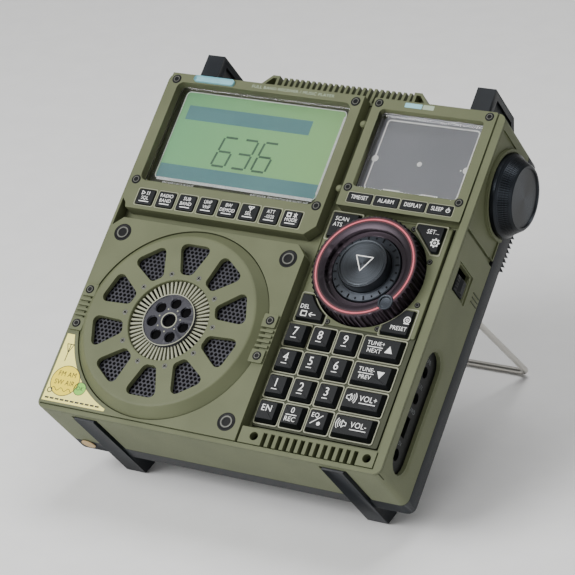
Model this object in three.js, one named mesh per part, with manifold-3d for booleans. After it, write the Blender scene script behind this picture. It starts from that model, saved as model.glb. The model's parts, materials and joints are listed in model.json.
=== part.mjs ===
// A field shortwave receiver that leans back on its wire bail.
// Everything is drawn upright first: X to the right, Y rearwards from the front
// bezels, Z up from the underside of the case, in millimetres. The whole set is then
// leaned back until its heels and the bar of the bail stand on the ground.
import * as THREE from 'three';
import { mergeVertices } from 'three/addons/utils/BufferGeometryUtils.js';
import Module from 'manifold-3d';

const wasm = await Module();
wasm.setup();

// ---- Driving dimensions -------------------------------------------------------
const WIDTH = 168;            // case width
const HEIGHT = 168.5;         // case height
const FRAME_DEPTH = 8;        // front frame, from the bezel face
const FLANGE = 2;             // rear face of the frame's outer flange
const SKIRT = 0.9;            // thin front skirt of the housing round the frame
const HOUSING_BACK = 34;      // rear edge of the olive housing
const CASE_BACK = 43;         // rear face of the black cover
const WALL = 2.4;             // moulded wall thickness
const GAP = 0.3;              // working gap between neighbouring pieces
const CORNER = 3.5;           // corner radius of the case

const LCD = { x0: -82.5, x1: 16, z0: 99.2, z1: 168.5 };
const LCD_OPENING = { x0: -78, x1: 11, z0: 113.4, z1: 164.2, r: 3 };
const CLOCK = { x0: 21.2, x1: 80.2, z0: 115.4, z1: 168.5 };
const CLOCK_OPENING = { x0: 25.5, x1: 75.5, z0: 125.1, z1: 163.5, r: 2 };
const BEZEL_DEPTH = 6.5;
const SPEAKER = { x0: -82.5, x1: 15.7, z0: 2.2, z1: 94.2 };
const SPEAKER_CENTRE = { x: -33.7, z: 48.2 };
const SPEAKER_RADIUS = 44.2;  // foot of the raised disc
const DISC_RADIUS = 40;       // flat top of the raised disc
const DISC_RISE = 4.2;
const SPOKES = 10;            // sound windows round the disc
const MAT = { x0: 17.1, x1: 76, z0: 12.6, z1: 114.6, y0: 6.5, y1: 9.5 };
const DIAL = { x: 45.7, z: 88.4 };
const RING_RADIUS = 24.3;
const RING_BORE = 15.9;
const KNOB_RADIUS = 15.55;
const CAP_RADIUS = 11.3;
const KEY_TRAVEL = 0.8;
const KEY_PITCH = 12.05;
const SIDE_KNOB = { y: 25.5, z: 142.7, base: 18.5, face: 14.4, height: 9 };
const PORT = { y0: 8.4, y1: 22.4, z0: 6.8, z1: 61.8 };
const SWITCH = { y0: 5.4, y1: 22.4, z0: 87, z1: 101 };
const FOOT = { inner: 56, outer: 66, drop: 1, front: 5, heel: 59, tip: 63, rise: 6 };
const BRACKET = { inner: 63.6, outer: 72.4, front: 6, rear: 30.5, top: 182.6 };
const COMB = { end: 45.5, front: 8.6, rear: 18, rise: 9.2, fins: 23, pitch: 2.87, fin: 1.3 };
const GUSSET = { slope: 8, crest: 3.6 };   // sloped end of the comb and its level top
const THUMB_TEETH = { inner: 76, low: 115, high: 134, count: 8, pitch: 2.3, rise: 4.4 };
const BAIL = { half: 60.5, y: 46.8, z: 103.9, barY: 153.2, barZ: 114.8, wire: 1.5 };

// ---- Small modelling helpers --------------------------------------------------
const OLIVE = { color: 0x6f735a, roughness: 0.62, metalness: 0.0 };
const BLACK = { color: 0x2b2f34, roughness: 0.55, metalness: 0.0 };
const STEEL = { color: 0xa9a8a2, roughness: 0.3, metalness: 0.9 };
const CLEAR = { color: 0xbfd4c4, roughness: 0.1, metalness: 0.0, transparent: true, opacity: 0.35 };

const set = new THREE.Group();

function weld(geometry) {
  const bare = geometry.index ? geometry.toNonIndexed() : geometry.clone();
  bare.deleteAttribute('normal');
  bare.deleteAttribute('uv');
  return mergeVertices(bare, 1e-4);
}

function solid(geometry) {
  const g = weld(geometry);
  return new wasm.Manifold(new wasm.Mesh({
    numProp: 3,
    vertProperties: new Float32Array(g.attributes.position.array),
    triVerts: new Uint32Array(g.index.array),
  }));
}

function add(name, body, look, parent = set) {
  const mesh = body.getMesh();
  const g = new THREE.BufferGeometry();
  g.setAttribute('position', new THREE.BufferAttribute(mesh.vertProperties, 3));
  g.setIndex(new THREE.BufferAttribute(mesh.triVerts, 1));
  const node = new THREE.Mesh(g, new THREE.MeshStandardMaterial(look));
  node.name = name;
  parent.add(node);
  return node;
}

function box(x0, x1, y0, y1, z0, z1) {
  const g = new THREE.BoxGeometry(x1 - x0, y1 - y0, z1 - z0);
  g.translate((x0 + x1) / 2, (y0 + y1) / 2, (z0 + z1) / 2);
  return solid(g);
}

// An outline in the front plane (X, Z), made solid from y0 to y1.
function plate(shape, y0, y1, curveSegments = 2) {
  const g = new THREE.ExtrudeGeometry(shape, { depth: y1 - y0, bevelEnabled: false, curveSegments });
  g.rotateX(Math.PI / 2);
  g.translate(0, y1, 0);
  return solid(g);
}

// An outline in the side plane (Y, Z), made solid from x0 to x1.
function slab(points, x0, x1) {
  const shape = new THREE.Shape(points.map(([y, z]) => new THREE.Vector2(y, z)));
  const g = new THREE.ExtrudeGeometry(shape, { depth: x1 - x0, bevelEnabled: false });
  g.rotateY(Math.PI / 2);
  g.rotateX(Math.PI / 2);
  g.translate(x0, 0, 0);
  return solid(g);
}

function roundRect(x0, x1, z0, z1, r) {
  const s = new THREE.Shape();
  s.moveTo(x0 + r, z0);
  s.lineTo(x1 - r, z0);
  s.absarc(x1 - r, z0 + r, r, -Math.PI / 2, 0, false);
  s.lineTo(x1, z1 - r);
  s.absarc(x1 - r, z1 - r, r, 0, Math.PI / 2, false);
  s.lineTo(x0 + r, z1);
  s.absarc(x0 + r, z1 - r, r, Math.PI / 2, Math.PI, false);
  s.lineTo(x0, z0 + r);
  s.absarc(x0 + r, z0 + r, r, Math.PI, Math.PI * 1.5, false);
  return s;
}

function rounded(a, y0, y1, grow = 0) {
  const r = Math.max((a.r ?? 0.8) + grow, 0.2);
  return plate(roundRect(a.x0 - grow, a.x1 + grow, a.z0 - grow, a.z1 + grow, r), y0, y1);
}

// A turned piece about an axis along Y through (x, z): rows of [radius, y].
function turned(x, z, rows, sides = 48) {
  const g = new THREE.LatheGeometry(rows.map(([r, y]) => new THREE.Vector2(r, y)), sides);
  g.translate(x, 0, z);
  const body = solid(g);
  return body.volume() > 0 ? body : solid(flipped(g));
}

function flipped(geometry) {
  const g = geometry.clone();
  const order = Array.from(g.index.array);
  for (let i = 0; i < order.length; i += 3) {
    [order[i], order[i + 1]] = [order[i + 1], order[i]];
  }
  g.setIndex(order);
  return g;
}

function disc(x, z, r, y0, y1, sides = 32) {
  return turned(x, z, [[0, y0], [r, y0], [r, y1], [0, y1]], sides);
}

// A round piece about an axis along X, from x0 to x1.
function barrel(y, z, r0, r1, x0, x1, sides = 32) {
  const g = new THREE.CylinderGeometry(r1, r0, x1 - x0, sides);
  g.rotateZ(-Math.PI / 2);
  g.translate((x0 + x1) / 2, y, z);
  return solid(g);
}

const mirrored = (body) => body.mirror([1, 0, 0]);
const half = WIDTH / 2;

// ---- Case: front frame, housing, rear cover -----------------------------------
const caseOutline = roundRect(-half, half, 0, HEIGHT, CORNER);

// The groove under the case that a foot strap lies in.
function footChannel(side) {
  const x = (side * (FOOT.inner + FOOT.outer)) / 2;
  const reach = (FOOT.outer - FOOT.inner) / 2 + 1.6;
  return box(x - reach, x + reach, FOOT.front - 0.6, HOUSING_BACK + 1, -1, 1.1);
}

function frontFrame() {
  const floor = 7 + GAP;
  let body = plate(roundRect(-half, half, 0, HEIGHT, CORNER), 0.8, FLANGE);
  const inset = SKIRT + GAP;
  body = body.add(box(inset - half, half - inset, FLANGE - 0.5, FRAME_DEPTH, inset, HEIGHT - inset));
  body = body.subtract(box(-82.8, half - 3.5, -1, floor, 1.9, HEIGHT + 1));
  body = body.subtract(rounded(LCD_OPENING, 5, 10, -2));
  body = body.subtract(disc(SPEAKER_CENTRE.x, SPEAKER_CENTRE.z, 38, 5, 10));
  body = body.subtract(box(-76, 10, 5, 10, 101, 110));
  body = body.subtract(rounded(CLOCK_OPENING, 5, 10, -2));
  body = body.subtract(box(24, 76.5, 5, 10, 117, 122.6));
  for (const side of [-1, 1]) {
    body = body.subtract(footChannel(side));
  }
  return body.subtract(box(MAT.x0 - GAP, MAT.x1 + GAP, 5, 10, MAT.z0 - GAP, MAT.z1 + GAP));
}

function housing() {
  const front = FLANGE + GAP;
  let body = plate(caseOutline, front, HOUSING_BACK);
  body = body.subtract(plate(roundRect(-half + WALL, half - WALL, WALL, HEIGHT - WALL, 2), 7, 35));
  body = body.subtract(box(SKIRT - half, half - SKIRT, 0, FRAME_DEPTH + GAP, SKIRT, HEIGHT - SKIRT));
  body = body.subtract(box(-82.8, half - 3.5, 0, 7, 160, HEIGHT + 1));
  for (const side of [-1, 1]) {
    body = body.subtract(footChannel(side));
  }
  body = body.subtract(barrel(SIDE_KNOB.y, SIDE_KNOB.z, 4.2, 4.2, half - 5, half + 1, 16));
  const collar = barrel(SIDE_KNOB.y, SIDE_KNOB.z, 20.2, 20.2, half - 1, half + 0.8, 40)
    .subtract(barrel(SIDE_KNOB.y, SIDE_KNOB.z, 19, 19, half - 2, half + 2, 40));
  body = body.add(collar.intersect(box(half - 1, half + 2, front, HOUSING_BACK, 100, HEIGHT)));
  const { y0, y1, z0, z1 } = SWITCH;
  body = body.subtract(box(half - 5, half + 1, y0 + 2.1, y1 - 2.9, z0 + 1.5, z1 - 1));
  body = body.subtract(slab(stadium(PORT, 0.2), half - 5, half + 1));
  return body;
}

function stadium(a, grow) {
  const r = (a.y1 - a.y0) / 2 + grow;
  const y = (a.y0 + a.y1) / 2;
  const points = [];
  for (let i = 0; i <= 8; i += 1) {
    const t = (i / 8) * Math.PI;
    points.push([y + r * Math.cos(t), a.z1 - r + grow + r * Math.sin(t)]);
  }
  for (let i = 0; i <= 8; i += 1) {
    const t = Math.PI + (i / 8) * Math.PI;
    points.push([y + r * Math.cos(t), a.z0 + r - grow + r * Math.sin(t)]);
  }
  return points;
}

function rearCover() {
  const front = HOUSING_BACK + GAP;
  let body = plate(caseOutline, front, CASE_BACK);
  const room = roundRect(-half + WALL, half - WALL, WALL, HEIGHT - WALL, 2);
  body = body.subtract(plate(room, 33, CASE_BACK - WALL));
  body = body.subtract(box(-46.3, 46.3, 38, 45, 21.7, 66.3));
  const foot = slab([[FOOT.front, 0.8], [FOOT.front, -FOOT.drop], [FOOT.heel, -FOOT.drop],
    [FOOT.tip, FOOT.rise], [CASE_BACK - 1, 16], [CASE_BACK - 1, 0.8]], FOOT.inner, FOOT.outer);
  const top = BRACKET.top;
  const bracket = slab([[BRACKET.front, HEIGHT + GAP], [BRACKET.front, top], [BRACKET.rear, top],
    [BRACKET.rear + 6, top - 6], [CASE_BACK - 1, HEIGHT - 4], [front + 1, HEIGHT - 4],
    [front + 1, HEIGHT + GAP]], BRACKET.inner, BRACKET.outer);
  const ear = box(BAIL.half + 3.4, BAIL.half + 11, CASE_BACK - 1, BAIL.y + 3.4, BAIL.z - 5, BAIL.z + 5)
    .subtract(barrel(BAIL.y, BAIL.z, 1.8, 1.8, BAIL.half, BAIL.half + 8, 16));
  const { inner, low, high, count, pitch, rise } = THUMB_TEETH;
  let teeth = box(inner, half - 1, CASE_BACK - 1, CASE_BACK + 1.2, low, high);
  for (let i = 0; i < count; i += 1) {
    const z = low + 0.8 + i * pitch;
    const ridge = [[CASE_BACK, z], [CASE_BACK + rise, z + 0.9], [CASE_BACK, z + 1.8]];
    teeth = teeth.add(slab(ridge, inner, half - 0.4));
  }
  for (const piece of [foot, bracket, ear, teeth]) {
    body = body.add(piece).add(mirrored(piece));
  }
  return body;
}

add('front_frame', frontFrame(), OLIVE);
add('main_housing', housing().add(topComb()), OLIVE);
add('rear_cover', rearCover(), BLACK);
add('battery_door', box(-46, 46, CASE_BACK - WALL, CASE_BACK - 0.2, 22, 66), BLACK);

// Cooling comb along the top edge, with a sloped gusset at each end.
function gusset(side) {
  const s = new THREE.Shape();
  s.moveTo(side * COMB.end, HEIGHT - 0.5);
  s.lineTo(side * COMB.end, HEIGHT + 0.3);
  s.lineTo(side * (COMB.end - GUSSET.slope), HEIGHT + COMB.rise);
  s.lineTo(side * (COMB.end - GUSSET.slope - GUSSET.crest), HEIGHT + COMB.rise);
  s.lineTo(side * (COMB.end - GUSSET.slope - GUSSET.crest), HEIGHT - 0.5);
  return plate(s, COMB.front, COMB.rear);
}

function topComb() {
  const { end, front, rear, rise, fins, pitch, fin } = COMB;
  const base = [[front, HEIGHT - 1], [front, HEIGHT + 1.2], [rear + 2, HEIGHT + 1.2], [rear + 6, HEIGHT - 1]];
  const blade = [[front, HEIGHT], [front + 1.2, HEIGHT + rise], [rear, HEIGHT + rise], [rear + 6, HEIGHT]];
  let comb = slab(base, -end, end).add(gusset(1)).add(gusset(-1));
  for (let i = 0; i < fins; i += 1) {
    const x = (i - (fins - 1) / 2) * pitch;
    comb = comb.add(slab(blade, x - fin / 2, x + fin / 2));
  }
  return comb;
}

// ---- Display window, module and bezel -----------------------------------------
function lcdBezel() {
  const s = new THREE.Shape();
  s.moveTo(LCD.x0 + 3, LCD.z0);
  s.lineTo(LCD.x1 - 4.5, LCD.z0);
  s.lineTo(LCD.x1, LCD.z0 + 4.5);
  s.lineTo(LCD.x1, LCD.z1);
  s.lineTo(LCD.x0, LCD.z1);
  s.lineTo(LCD.x0, LCD.z0 + 4.5);
  s.lineTo(LCD.x0 + 2.2, LCD.z0 + 2.2);
  let body = plate(s, 0, BEZEL_DEPTH);
  body = body.subtract(rounded(LCD_OPENING, -1, 8));
  for (let i = 0; i < 8; i += 1) {
    body = body.subtract(rounded(lcdKey(i), -1, 8, GAP));
  }
  return body;
}

function lcdKey(i) {
  const x = -71.1 + i * 10.65;
  return { x0: x - 4.3, x1: x + 4.3, z0: 101.5, z1: 108.9, r: 1 };
}

add('lcd_bezel', lcdBezel(), OLIVE);
add('lcd_window', rounded(LCD_OPENING, 4.2, 6.2, -GAP), CLEAR);
add('lcd_module', box(-78, 11, BEZEL_DEPTH + 1.5, 14, 116, 162).intersect(
  rounded(LCD_OPENING, 0, 20, -2.5)), { color: 0x93b38f, roughness: 0.5, metalness: 0 });

// ---- Clock window, module and bezel -------------------------------------------
function clockKey(i) {
  const x = 31.4 + i * 12.77;
  return { x0: x - 5.85, x1: x + 5.85, z0: 117.4, z1: 122, r: 0.8 };
}

function clockBezel() {
  let body = plate(roundRect(CLOCK.x0, CLOCK.x1, CLOCK.z0, CLOCK.z1, 0.6), 0, BEZEL_DEPTH);
  body = body.subtract(rounded(CLOCK_OPENING, -1, 8));
  for (let i = 0; i < 4; i += 1) {
    body = body.subtract(rounded(clockKey(i), -1, 8, GAP));
  }
  return body;
}

add('clock_bezel', clockBezel(), OLIVE);
add('clock_window', rounded(CLOCK_OPENING, 3.2, 5.2, -GAP), CLEAR);
add('clock_module', rounded(CLOCK_OPENING, 5.8, 14, -2.5), { color: 0x828388, roughness: 0.6, metalness: 0 });

// ---- Speaker ------------------------------------------------------------------
function speakerPanel() {
  const s = new THREE.Shape();
  s.moveTo(SPEAKER.x0, SPEAKER.z0);
  s.lineTo(SPEAKER.x1, SPEAKER.z0);
  s.lineTo(SPEAKER.x1, SPEAKER.z1 - 5);
  s.lineTo(SPEAKER.x1 - 4.5, SPEAKER.z1);
  s.lineTo(SPEAKER.x0 + 4, SPEAKER.z1);
  s.lineTo(SPEAKER.x0, SPEAKER.z1 - 4);
  const { x, z } = SPEAKER_CENTRE;
  let body = plate(s, 0, 7);
  const cone = [[0, -DISC_RISE], [DISC_RADIUS, -DISC_RISE], [SPEAKER_RADIUS, 0.5], [0, 0.5]];
  body = body.add(turned(x, z, cone, 60));
  body = body.subtract(turned(x, z, [[0, -DISC_RISE + 3], [37.5, -DISC_RISE + 3], [37.5, 8], [0, 8]], 48));
  for (let i = 0; i < SPOKES; i += 1) {
    body = body.subtract(soundWindow(i));
  }
  for (const side of [-1, 1]) {
    const cx = x + side * 45.3;
    for (const cz of [57, 40.4]) {
      body = body.add(box(cx - 3.2, cx + 3.2, -1.2, 1, cz - 3, cz + 3));
    }
    for (let i = 0; i < 4; i += 1) {
      const cz = 45.1 + i * 2.4;
      body = body.add(box(cx - 3.2, cx + 3.2, -1, 1, cz - 0.6, cz + 0.6));
    }
  }
  return body.intersect(box(-83.4, SPEAKER.x1, -10, 10, 0, 200));
}

function soundWindow(i) {
  const turn = Math.PI / 2 + (i * 2 * Math.PI) / SPOKES;
  const local = [[21.5, -3], [36.2, -8], [36.2, 8], [21.5, 3]];
  const s = new THREE.Shape(local.map(([r, t]) => new THREE.Vector2(
    SPEAKER_CENTRE.x + r * Math.cos(turn) - t * Math.sin(turn),
    SPEAKER_CENTRE.z + r * Math.sin(turn) + t * Math.cos(turn))));
  return plate(s, -8, 2);
}

add('speaker_panel', speakerPanel(), OLIVE);
const mesh = disc(SPEAKER_CENTRE.x, SPEAKER_CENTRE.z, 37.2, -DISC_RISE + 3 + GAP, 0.2, 48);
add('speaker_mesh', mesh.add(disc(SPEAKER_CENTRE.x, SPEAKER_CENTRE.z, 30, 0, 0.6, 24)), BLACK);
add('speaker_driver', turned(SPEAKER_CENTRE.x, SPEAKER_CENTRE.z,
  [[0, 4], [14, 4], [34, 1.6], [37, 1.6], [37, 3.2], [20, 19], [20, 31], [0, 31]], 32),
{ color: 0x33363a, roughness: 0.6, metalness: 0.2 });

// ---- Key mat, keys and bottom vent --------------------------------------------
const COLUMN = [22.8, 34.8, 46.9];
const ROW = [55.4, 43.3, 31.2, 19.2];

function keypadKey(row, column) {
  const wide = column === 3;
  const x = wide ? 63.4 : COLUMN[column];
  const reach = wide ? 9.3 : 5;
  const z = ROW[row];
  return { x0: x - reach, x1: x + reach, z0: z - 4.9, z1: z + 4.9, r: 1 };
}

function cornerKey(right, upper) {
  const sx = right ? 1 : -1;
  const sz = upper ? 1 : -1;
  const near = 13.5;
  const far = 27;
  const cx = [DIAL.x + sx * near, DIAL.x + sx * far].sort((a, b) => a - b);
  const cz = [DIAL.z + sz * near, DIAL.z + sz * (far - 1)].sort((a, b) => a - b);
  return { x0: cx[0], x1: cx[1], z0: cz[0], z1: cz[1], r: 1 };
}

function cornerKeyBody(right, upper, y0, y1, grow) {
  return rounded(cornerKey(right, upper), y0, y1, grow)
    .subtract(disc(DIAL.x, DIAL.z, RING_RADIUS + 1.6 - grow, y0 - 1, y1 + 1, 64));
}

function keyMat() {
  let body = rounded(MAT, MAT.y0, MAT.y1);
  body = body.subtract(disc(DIAL.x, DIAL.z, RING_RADIUS + 0.7, 0, 20, 64));
  for (const right of [false, true]) {
    for (const upper of [false, true]) {
      body = body.subtract(cornerKeyBody(right, upper, 0, 20, GAP));
    }
  }
  for (let row = 0; row < 4; row += 1) {
    for (let column = 0; column < 4; column += 1) {
      body = body.subtract(rounded(keypadKey(row, column), 0, 20, GAP));
    }
  }
  return body;
}

add('key_mat', keyMat(), BLACK);

const lcdNames = ['play', 'band', 'sub_band', 'uhf_vhf', 'bandwidth', 'antenna', 'attenuator', 'mode'];
lcdNames.forEach((name, i) => add(`key_${name}`, rounded(lcdKey(i), -0.6, 8), BLACK));
const clockNames = ['time', 'alarm', 'display', 'sleep'];
clockNames.forEach((name, i) => add(`key_${name}`, rounded(clockKey(i), -0.5, 8), BLACK));
const padNames = [['7', '8', '9', 'tune_up'], ['4', '5', '6', 'tune_down'],
  ['1', '2', '3', 'volume_up'], ['enter', '0', 'equaliser', 'volume_down']];
padNames.forEach((names, row) => names.forEach((name, column) => {
  add(`key_${name}`, rounded(keypadKey(row, column), 3.6, 11), BLACK);
}));
const cornerNames = [['delete', 'scan'], ['preset', 'setup']];
cornerNames.forEach((names, right) => names.forEach((name, upper) => {
  add(`key_${name}`, cornerKeyBody(right === 1, upper === 1, 4.6, 11, 0), BLACK);
}));

function ventBar() {
  let body = box(16.8, 80.2, 0.2, 6.8, 2.2, 9.4);
  for (let i = 0; i < 13; i += 1) {
    const x = 28.5 + i * 3.56;
    body = body.subtract(box(x - 0.95, x + 0.95, -1, 4, 0, 8));
  }
  return body;
}

add('vent_bar', ventBar(), OLIVE);

// ---- Tuning dial, inner knob and centre button --------------------------------
function tuningRing() {
  return turned(DIAL.x, DIAL.z, [[RING_BORE + 2.4, -1.5], [RING_RADIUS - 0.8, -1.5], [RING_RADIUS, -0.7],
    [RING_RADIUS, 13], [RING_BORE, 13], [RING_BORE, 1.5], [RING_BORE + 2.4, 1.5],
    [RING_BORE + 2.4, -1.5]], 64)
    .subtract(disc(DIAL.x + 15.2, DIAL.z - 14.5, 2.6, -3, -0.2, 20));
}

add('tuning_ring', tuningRing(), BLACK);
const knobRows = [[CAP_RADIUS + GAP, 0.6], [KNOB_RADIUS - 0.5, 0.6], [KNOB_RADIUS, 1.1], [KNOB_RADIUS, 15],
  [5, 15], [5, 11], [CAP_RADIUS + GAP, 11], [CAP_RADIUS + GAP, 0.6]];
add('dial_knob', turned(DIAL.x, DIAL.z, knobRows, 48), BLACK);
add('dial_button', turned(DIAL.x, DIAL.z, [[0, -4.2], [CAP_RADIUS - 0.8, -4.2], [CAP_RADIUS, -3.4],
  [CAP_RADIUS, 9.6], [4.6, 9.6], [4.6, 14], [0, 14]], 48), BLACK);

// ---- Side controls and sockets ------------------------------------------------
const { y: knobY, z: knobZ, base, face, height } = SIDE_KNOB;
const knobShaft = barrel(knobY, knobZ, 3.8, 3.8, half - 9, half + 1, 16);
add('side_knob', barrel(knobY, knobZ, base, face, half + GAP, half + height, 48).add(knobShaft), BLACK);
const slider = slab([[8.5, 88.8], [19.2, 88.8], [19.2, 96.4], [8.5, 96.4]], half - 1.6, half + 0.4)
  .add(box(half - 4, half - 1, 10, 17, 90.5, 94.5));
add('lock_switch', slider, BLACK);
add('jack_panel', slab(stadium(PORT, 1.5), half - 6, half - WALL - GAP)
  .subtract(box(half - 7, half - 2, 0, FRAME_DEPTH + GAP, 0, 80))
  .subtract(barrel(14, 52, 2.6, 2.6, half - 4.6, half, 20))
  .subtract(barrel(14, 40, 2.6, 2.6, half - 4.6, half, 20))
  .subtract(box(half - 4.6, half, 12.2, 15.8, 22.5, 31.5))
  .subtract(barrel(14, 14.5, 2.9, 2.9, half - 4.6, half, 20)), BLACK);

// ---- Wire bail ----------------------------------------------------------------
function bail() {
  const { half: w, y, z, barY, barZ, wire } = BAIL;
  const end = w + 7;
  const bend = 6;
  const corners = [[-end, y, z], [-w, y, z], [-w, barY, barZ], [w, barY, barZ], [w, y, z], [end, y, z]]
    .map((p) => new THREE.Vector3(...p));
  const path = new THREE.CurvePath();
  let from = corners[0];
  for (let i = 1; i < 5; i += 1) {
    const r = i === 1 || i === 4 ? 3 : bend;
    const before = corners[i].clone().lerp(corners[i - 1], r / corners[i].distanceTo(corners[i - 1]));
    const after = corners[i].clone().lerp(corners[i + 1], r / corners[i].distanceTo(corners[i + 1]));
    path.add(new THREE.LineCurve3(from, before));
    path.add(new THREE.QuadraticBezierCurve3(before, corners[i], after));
    from = after;
  }
  path.add(new THREE.LineCurve3(from, corners[5]));
  const ring = new THREE.Shape();
  ring.absarc(0, 0, wire, 0, Math.PI * 2, false);
  const sweep = { steps: 96, curveSegments: 4, bevelEnabled: false, extrudePath: path };
  const g = new THREE.ExtrudeGeometry(ring, sweep);
  return solid(g);
}

add('bail_stand', bail(), STEEL);

// ---- Inside -------------------------------------------------------------------
add('main_board', box(-76, 76, 21, 22.6, 82, 160).subtract(box(60, 77, 20, 24, 120, 161)),
  { color: 0x2f5d3a, roughness: 0.6, metalness: 0 });
let cells = box(-36, 36, 34.8, 35.4, 40, 48);
for (const x of [-27, -9, 9, 27]) {
  const cell = new THREE.CylinderGeometry(2.9, 2.9, 34, 16);
  cell.rotateX(Math.PI / 2);
  cell.translate(x, 37, 44);
  cells = cells.add(solid(cell));
}
add('battery_pack', cells, { color: 0x8a8f96, roughness: 0.4, metalness: 0.3 });
add('ferrite_antenna', barrel(30, 160, 4, 4, -60, 50, 16), { color: 0x4a4540, roughness: 0.7, metalness: 0 });

// ---- Lean the set back on its heels and bail, centred over the ground ---------
const reachY = BAIL.barY - FOOT.heel;
const reachZ = BAIL.barZ + FOOT.drop;
const lean = Math.atan2(reachZ, reachY) - Math.asin(BAIL.wire / Math.hypot(reachY, reachZ));
set.rotation.x = -lean;
set.updateMatrixWorld(true);
const bounds = new THREE.Box3().setFromObject(set, true);
const centre = bounds.getCenter(new THREE.Vector3());
set.position.set(-centre.x, -centre.y, -bounds.min.z);
set.updateMatrixWorld(true);

export default set;
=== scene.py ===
# %% [markdown]
# # A field shortwave receiver
# This notebook dresses a finished CAD model: an olive receiver that leans back on a
# wire bail. The CAD gives every size. Here each piece gets soft edges, small parts
# and a real finish. We model upright, in millimetres, because that is how a panel is
# drawn, and one matrix then leans each finished piece back into its place.

# %% Open the frame
import json
import math
import bpy
from mathutils import Matrix, Vector


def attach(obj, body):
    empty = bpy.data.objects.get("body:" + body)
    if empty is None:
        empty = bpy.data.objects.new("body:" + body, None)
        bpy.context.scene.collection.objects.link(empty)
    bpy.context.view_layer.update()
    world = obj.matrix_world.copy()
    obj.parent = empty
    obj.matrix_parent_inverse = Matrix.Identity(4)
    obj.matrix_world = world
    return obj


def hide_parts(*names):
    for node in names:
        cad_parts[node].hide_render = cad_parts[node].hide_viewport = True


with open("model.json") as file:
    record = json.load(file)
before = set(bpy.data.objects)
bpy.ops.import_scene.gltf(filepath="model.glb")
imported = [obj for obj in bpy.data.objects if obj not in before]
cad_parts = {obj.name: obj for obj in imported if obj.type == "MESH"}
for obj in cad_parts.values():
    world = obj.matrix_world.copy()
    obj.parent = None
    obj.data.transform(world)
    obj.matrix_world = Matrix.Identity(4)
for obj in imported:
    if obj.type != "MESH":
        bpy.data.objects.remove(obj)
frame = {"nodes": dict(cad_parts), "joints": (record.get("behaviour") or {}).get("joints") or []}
bpy.context.view_layer.update()

# %% [markdown]
# ## From the drawing board to the table
# The drawing board has X to the right, Y into the case and Z up the front panel. The
# tuning dial's joint tells us where that board lies in the room: its axis is the
# board's Y, and its place is the dial's centre.

# %% The leaning matrix
DIAL = Vector((45.7, 0, 88.4))
tune = next(joint for joint in frame["joints"] if joint["name"] == "tune")
across = Vector((1, 0, 0))
inward = Vector(tune["axis"]).normalized()
upward = across.cross(inward)
turn = Matrix((across, inward, upward)).transposed()
origin = Vector(tune["pos_m"]) - turn @ (DIAL * 0.001)
LEAN = Matrix.Translation(origin) @ turn.to_4x4() @ Matrix.Scale(0.001, 4)
LEAN_ANGLE = math.atan2(inward.z, inward.y)
print("leans back", round(-math.degrees(LEAN_ANGLE), 2), "degrees")

# %% [markdown]
# ## Camera
# A long lens keeps the square panels square. The camera stands to the right of the
# set, a little above it, and is rolled slightly, as a hand-held view is.

# %% Set the camera
AIM = Vector((-0.01896, 0.00769, 0.06929))
AZIMUTH, ELEVATION, ROLL = map(math.radians, (31.83, 24.137, -4.784))
DISTANCE = 1.193
back = Vector((math.sin(AZIMUTH) * math.cos(ELEVATION), -math.cos(AZIMUTH) * math.cos(ELEVATION),
               math.sin(ELEVATION)))
camera_data = bpy.data.cameras.new("camera")
camera_data.lens = 167.89
camera_data.sensor_width = 36
camera = bpy.data.objects.new("camera", camera_data)
bpy.context.scene.collection.objects.link(camera)
facing = (-back).to_track_quat("-Z", "Y").to_matrix().to_4x4()
camera.matrix_world = Matrix.Translation(AIM + back * DISTANCE) @ facing @ Matrix.Rotation(ROLL, 4, "Z")
bpy.context.scene.camera = camera
print("camera at", [round(v, 3) for v in camera.location])

# %% [markdown]
# ## Helpers for modelling by hand
# Operators act on whatever is selected, so every helper first selects only what it
# needs. Faces and edges are picked by where they are.

# %% Selecting
def only(*objects):
    if bpy.context.object and bpy.context.object.mode != "OBJECT":
        bpy.ops.object.mode_set(mode="OBJECT")
    bpy.ops.object.select_all(action="DESELECT")
    for thing in objects:
        thing.select_set(True)
    if objects:
        bpy.context.view_layer.objects.active = objects[0]
    return objects[0] if objects else None


def pick_edges(piece, test):
    mesh = piece.data
    for kind in (mesh.vertices, mesh.polygons, mesh.edges):
        kind.foreach_set("select", [False] * len(kind))
    chosen = [e for e in mesh.edges if test(*(mesh.vertices[i].co for i in e.vertices))]
    for edge in chosen:
        edge.select = True
    return len(chosen)


def pick_faces(piece, test):
    mesh = piece.data
    for kind in (mesh.vertices, mesh.edges, mesh.polygons):
        kind.foreach_set("select", [False] * len(kind))
    chosen = [f for f in mesh.polygons if test(f.center, f.normal)]
    for face in chosen:
        face.select = True
    return len(chosen)


def edit(piece, select="FACE"):
    only(piece)
    bpy.ops.object.mode_set(mode="EDIT")
    bpy.ops.mesh.select_mode(type=select)


def leave_edit():
    bpy.ops.object.mode_set(mode="OBJECT")


# %% Solid starts: blocks and turned pieces
def block(name, low, high, corner=0, along="Y", segments=5):
    """A block between two corners, with its four edges along one axis rounded."""
    only()
    middle = [(a + b) / 2 for a, b in zip(low, high)]
    bpy.ops.mesh.primitive_cube_add(size=1, location=middle)
    piece = bpy.context.object
    piece.name = name
    piece.scale = [b - a for a, b in zip(low, high)]
    bpy.ops.object.transform_apply(location=True, rotation=True, scale=True)
    if corner:
        axis = "XYZ".index(along)
        only(piece)
        pick_edges(piece, lambda a, b: abs((a - b)[axis]) > 0.9 * (high[axis] - low[axis])
                   and (a - b).length < 1.001 * (high[axis] - low[axis]))
        edit(piece, "EDGE")
        bpy.ops.mesh.bevel(offset=corner, segments=segments, affect="EDGES")
        leave_edit()
    return piece


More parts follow.
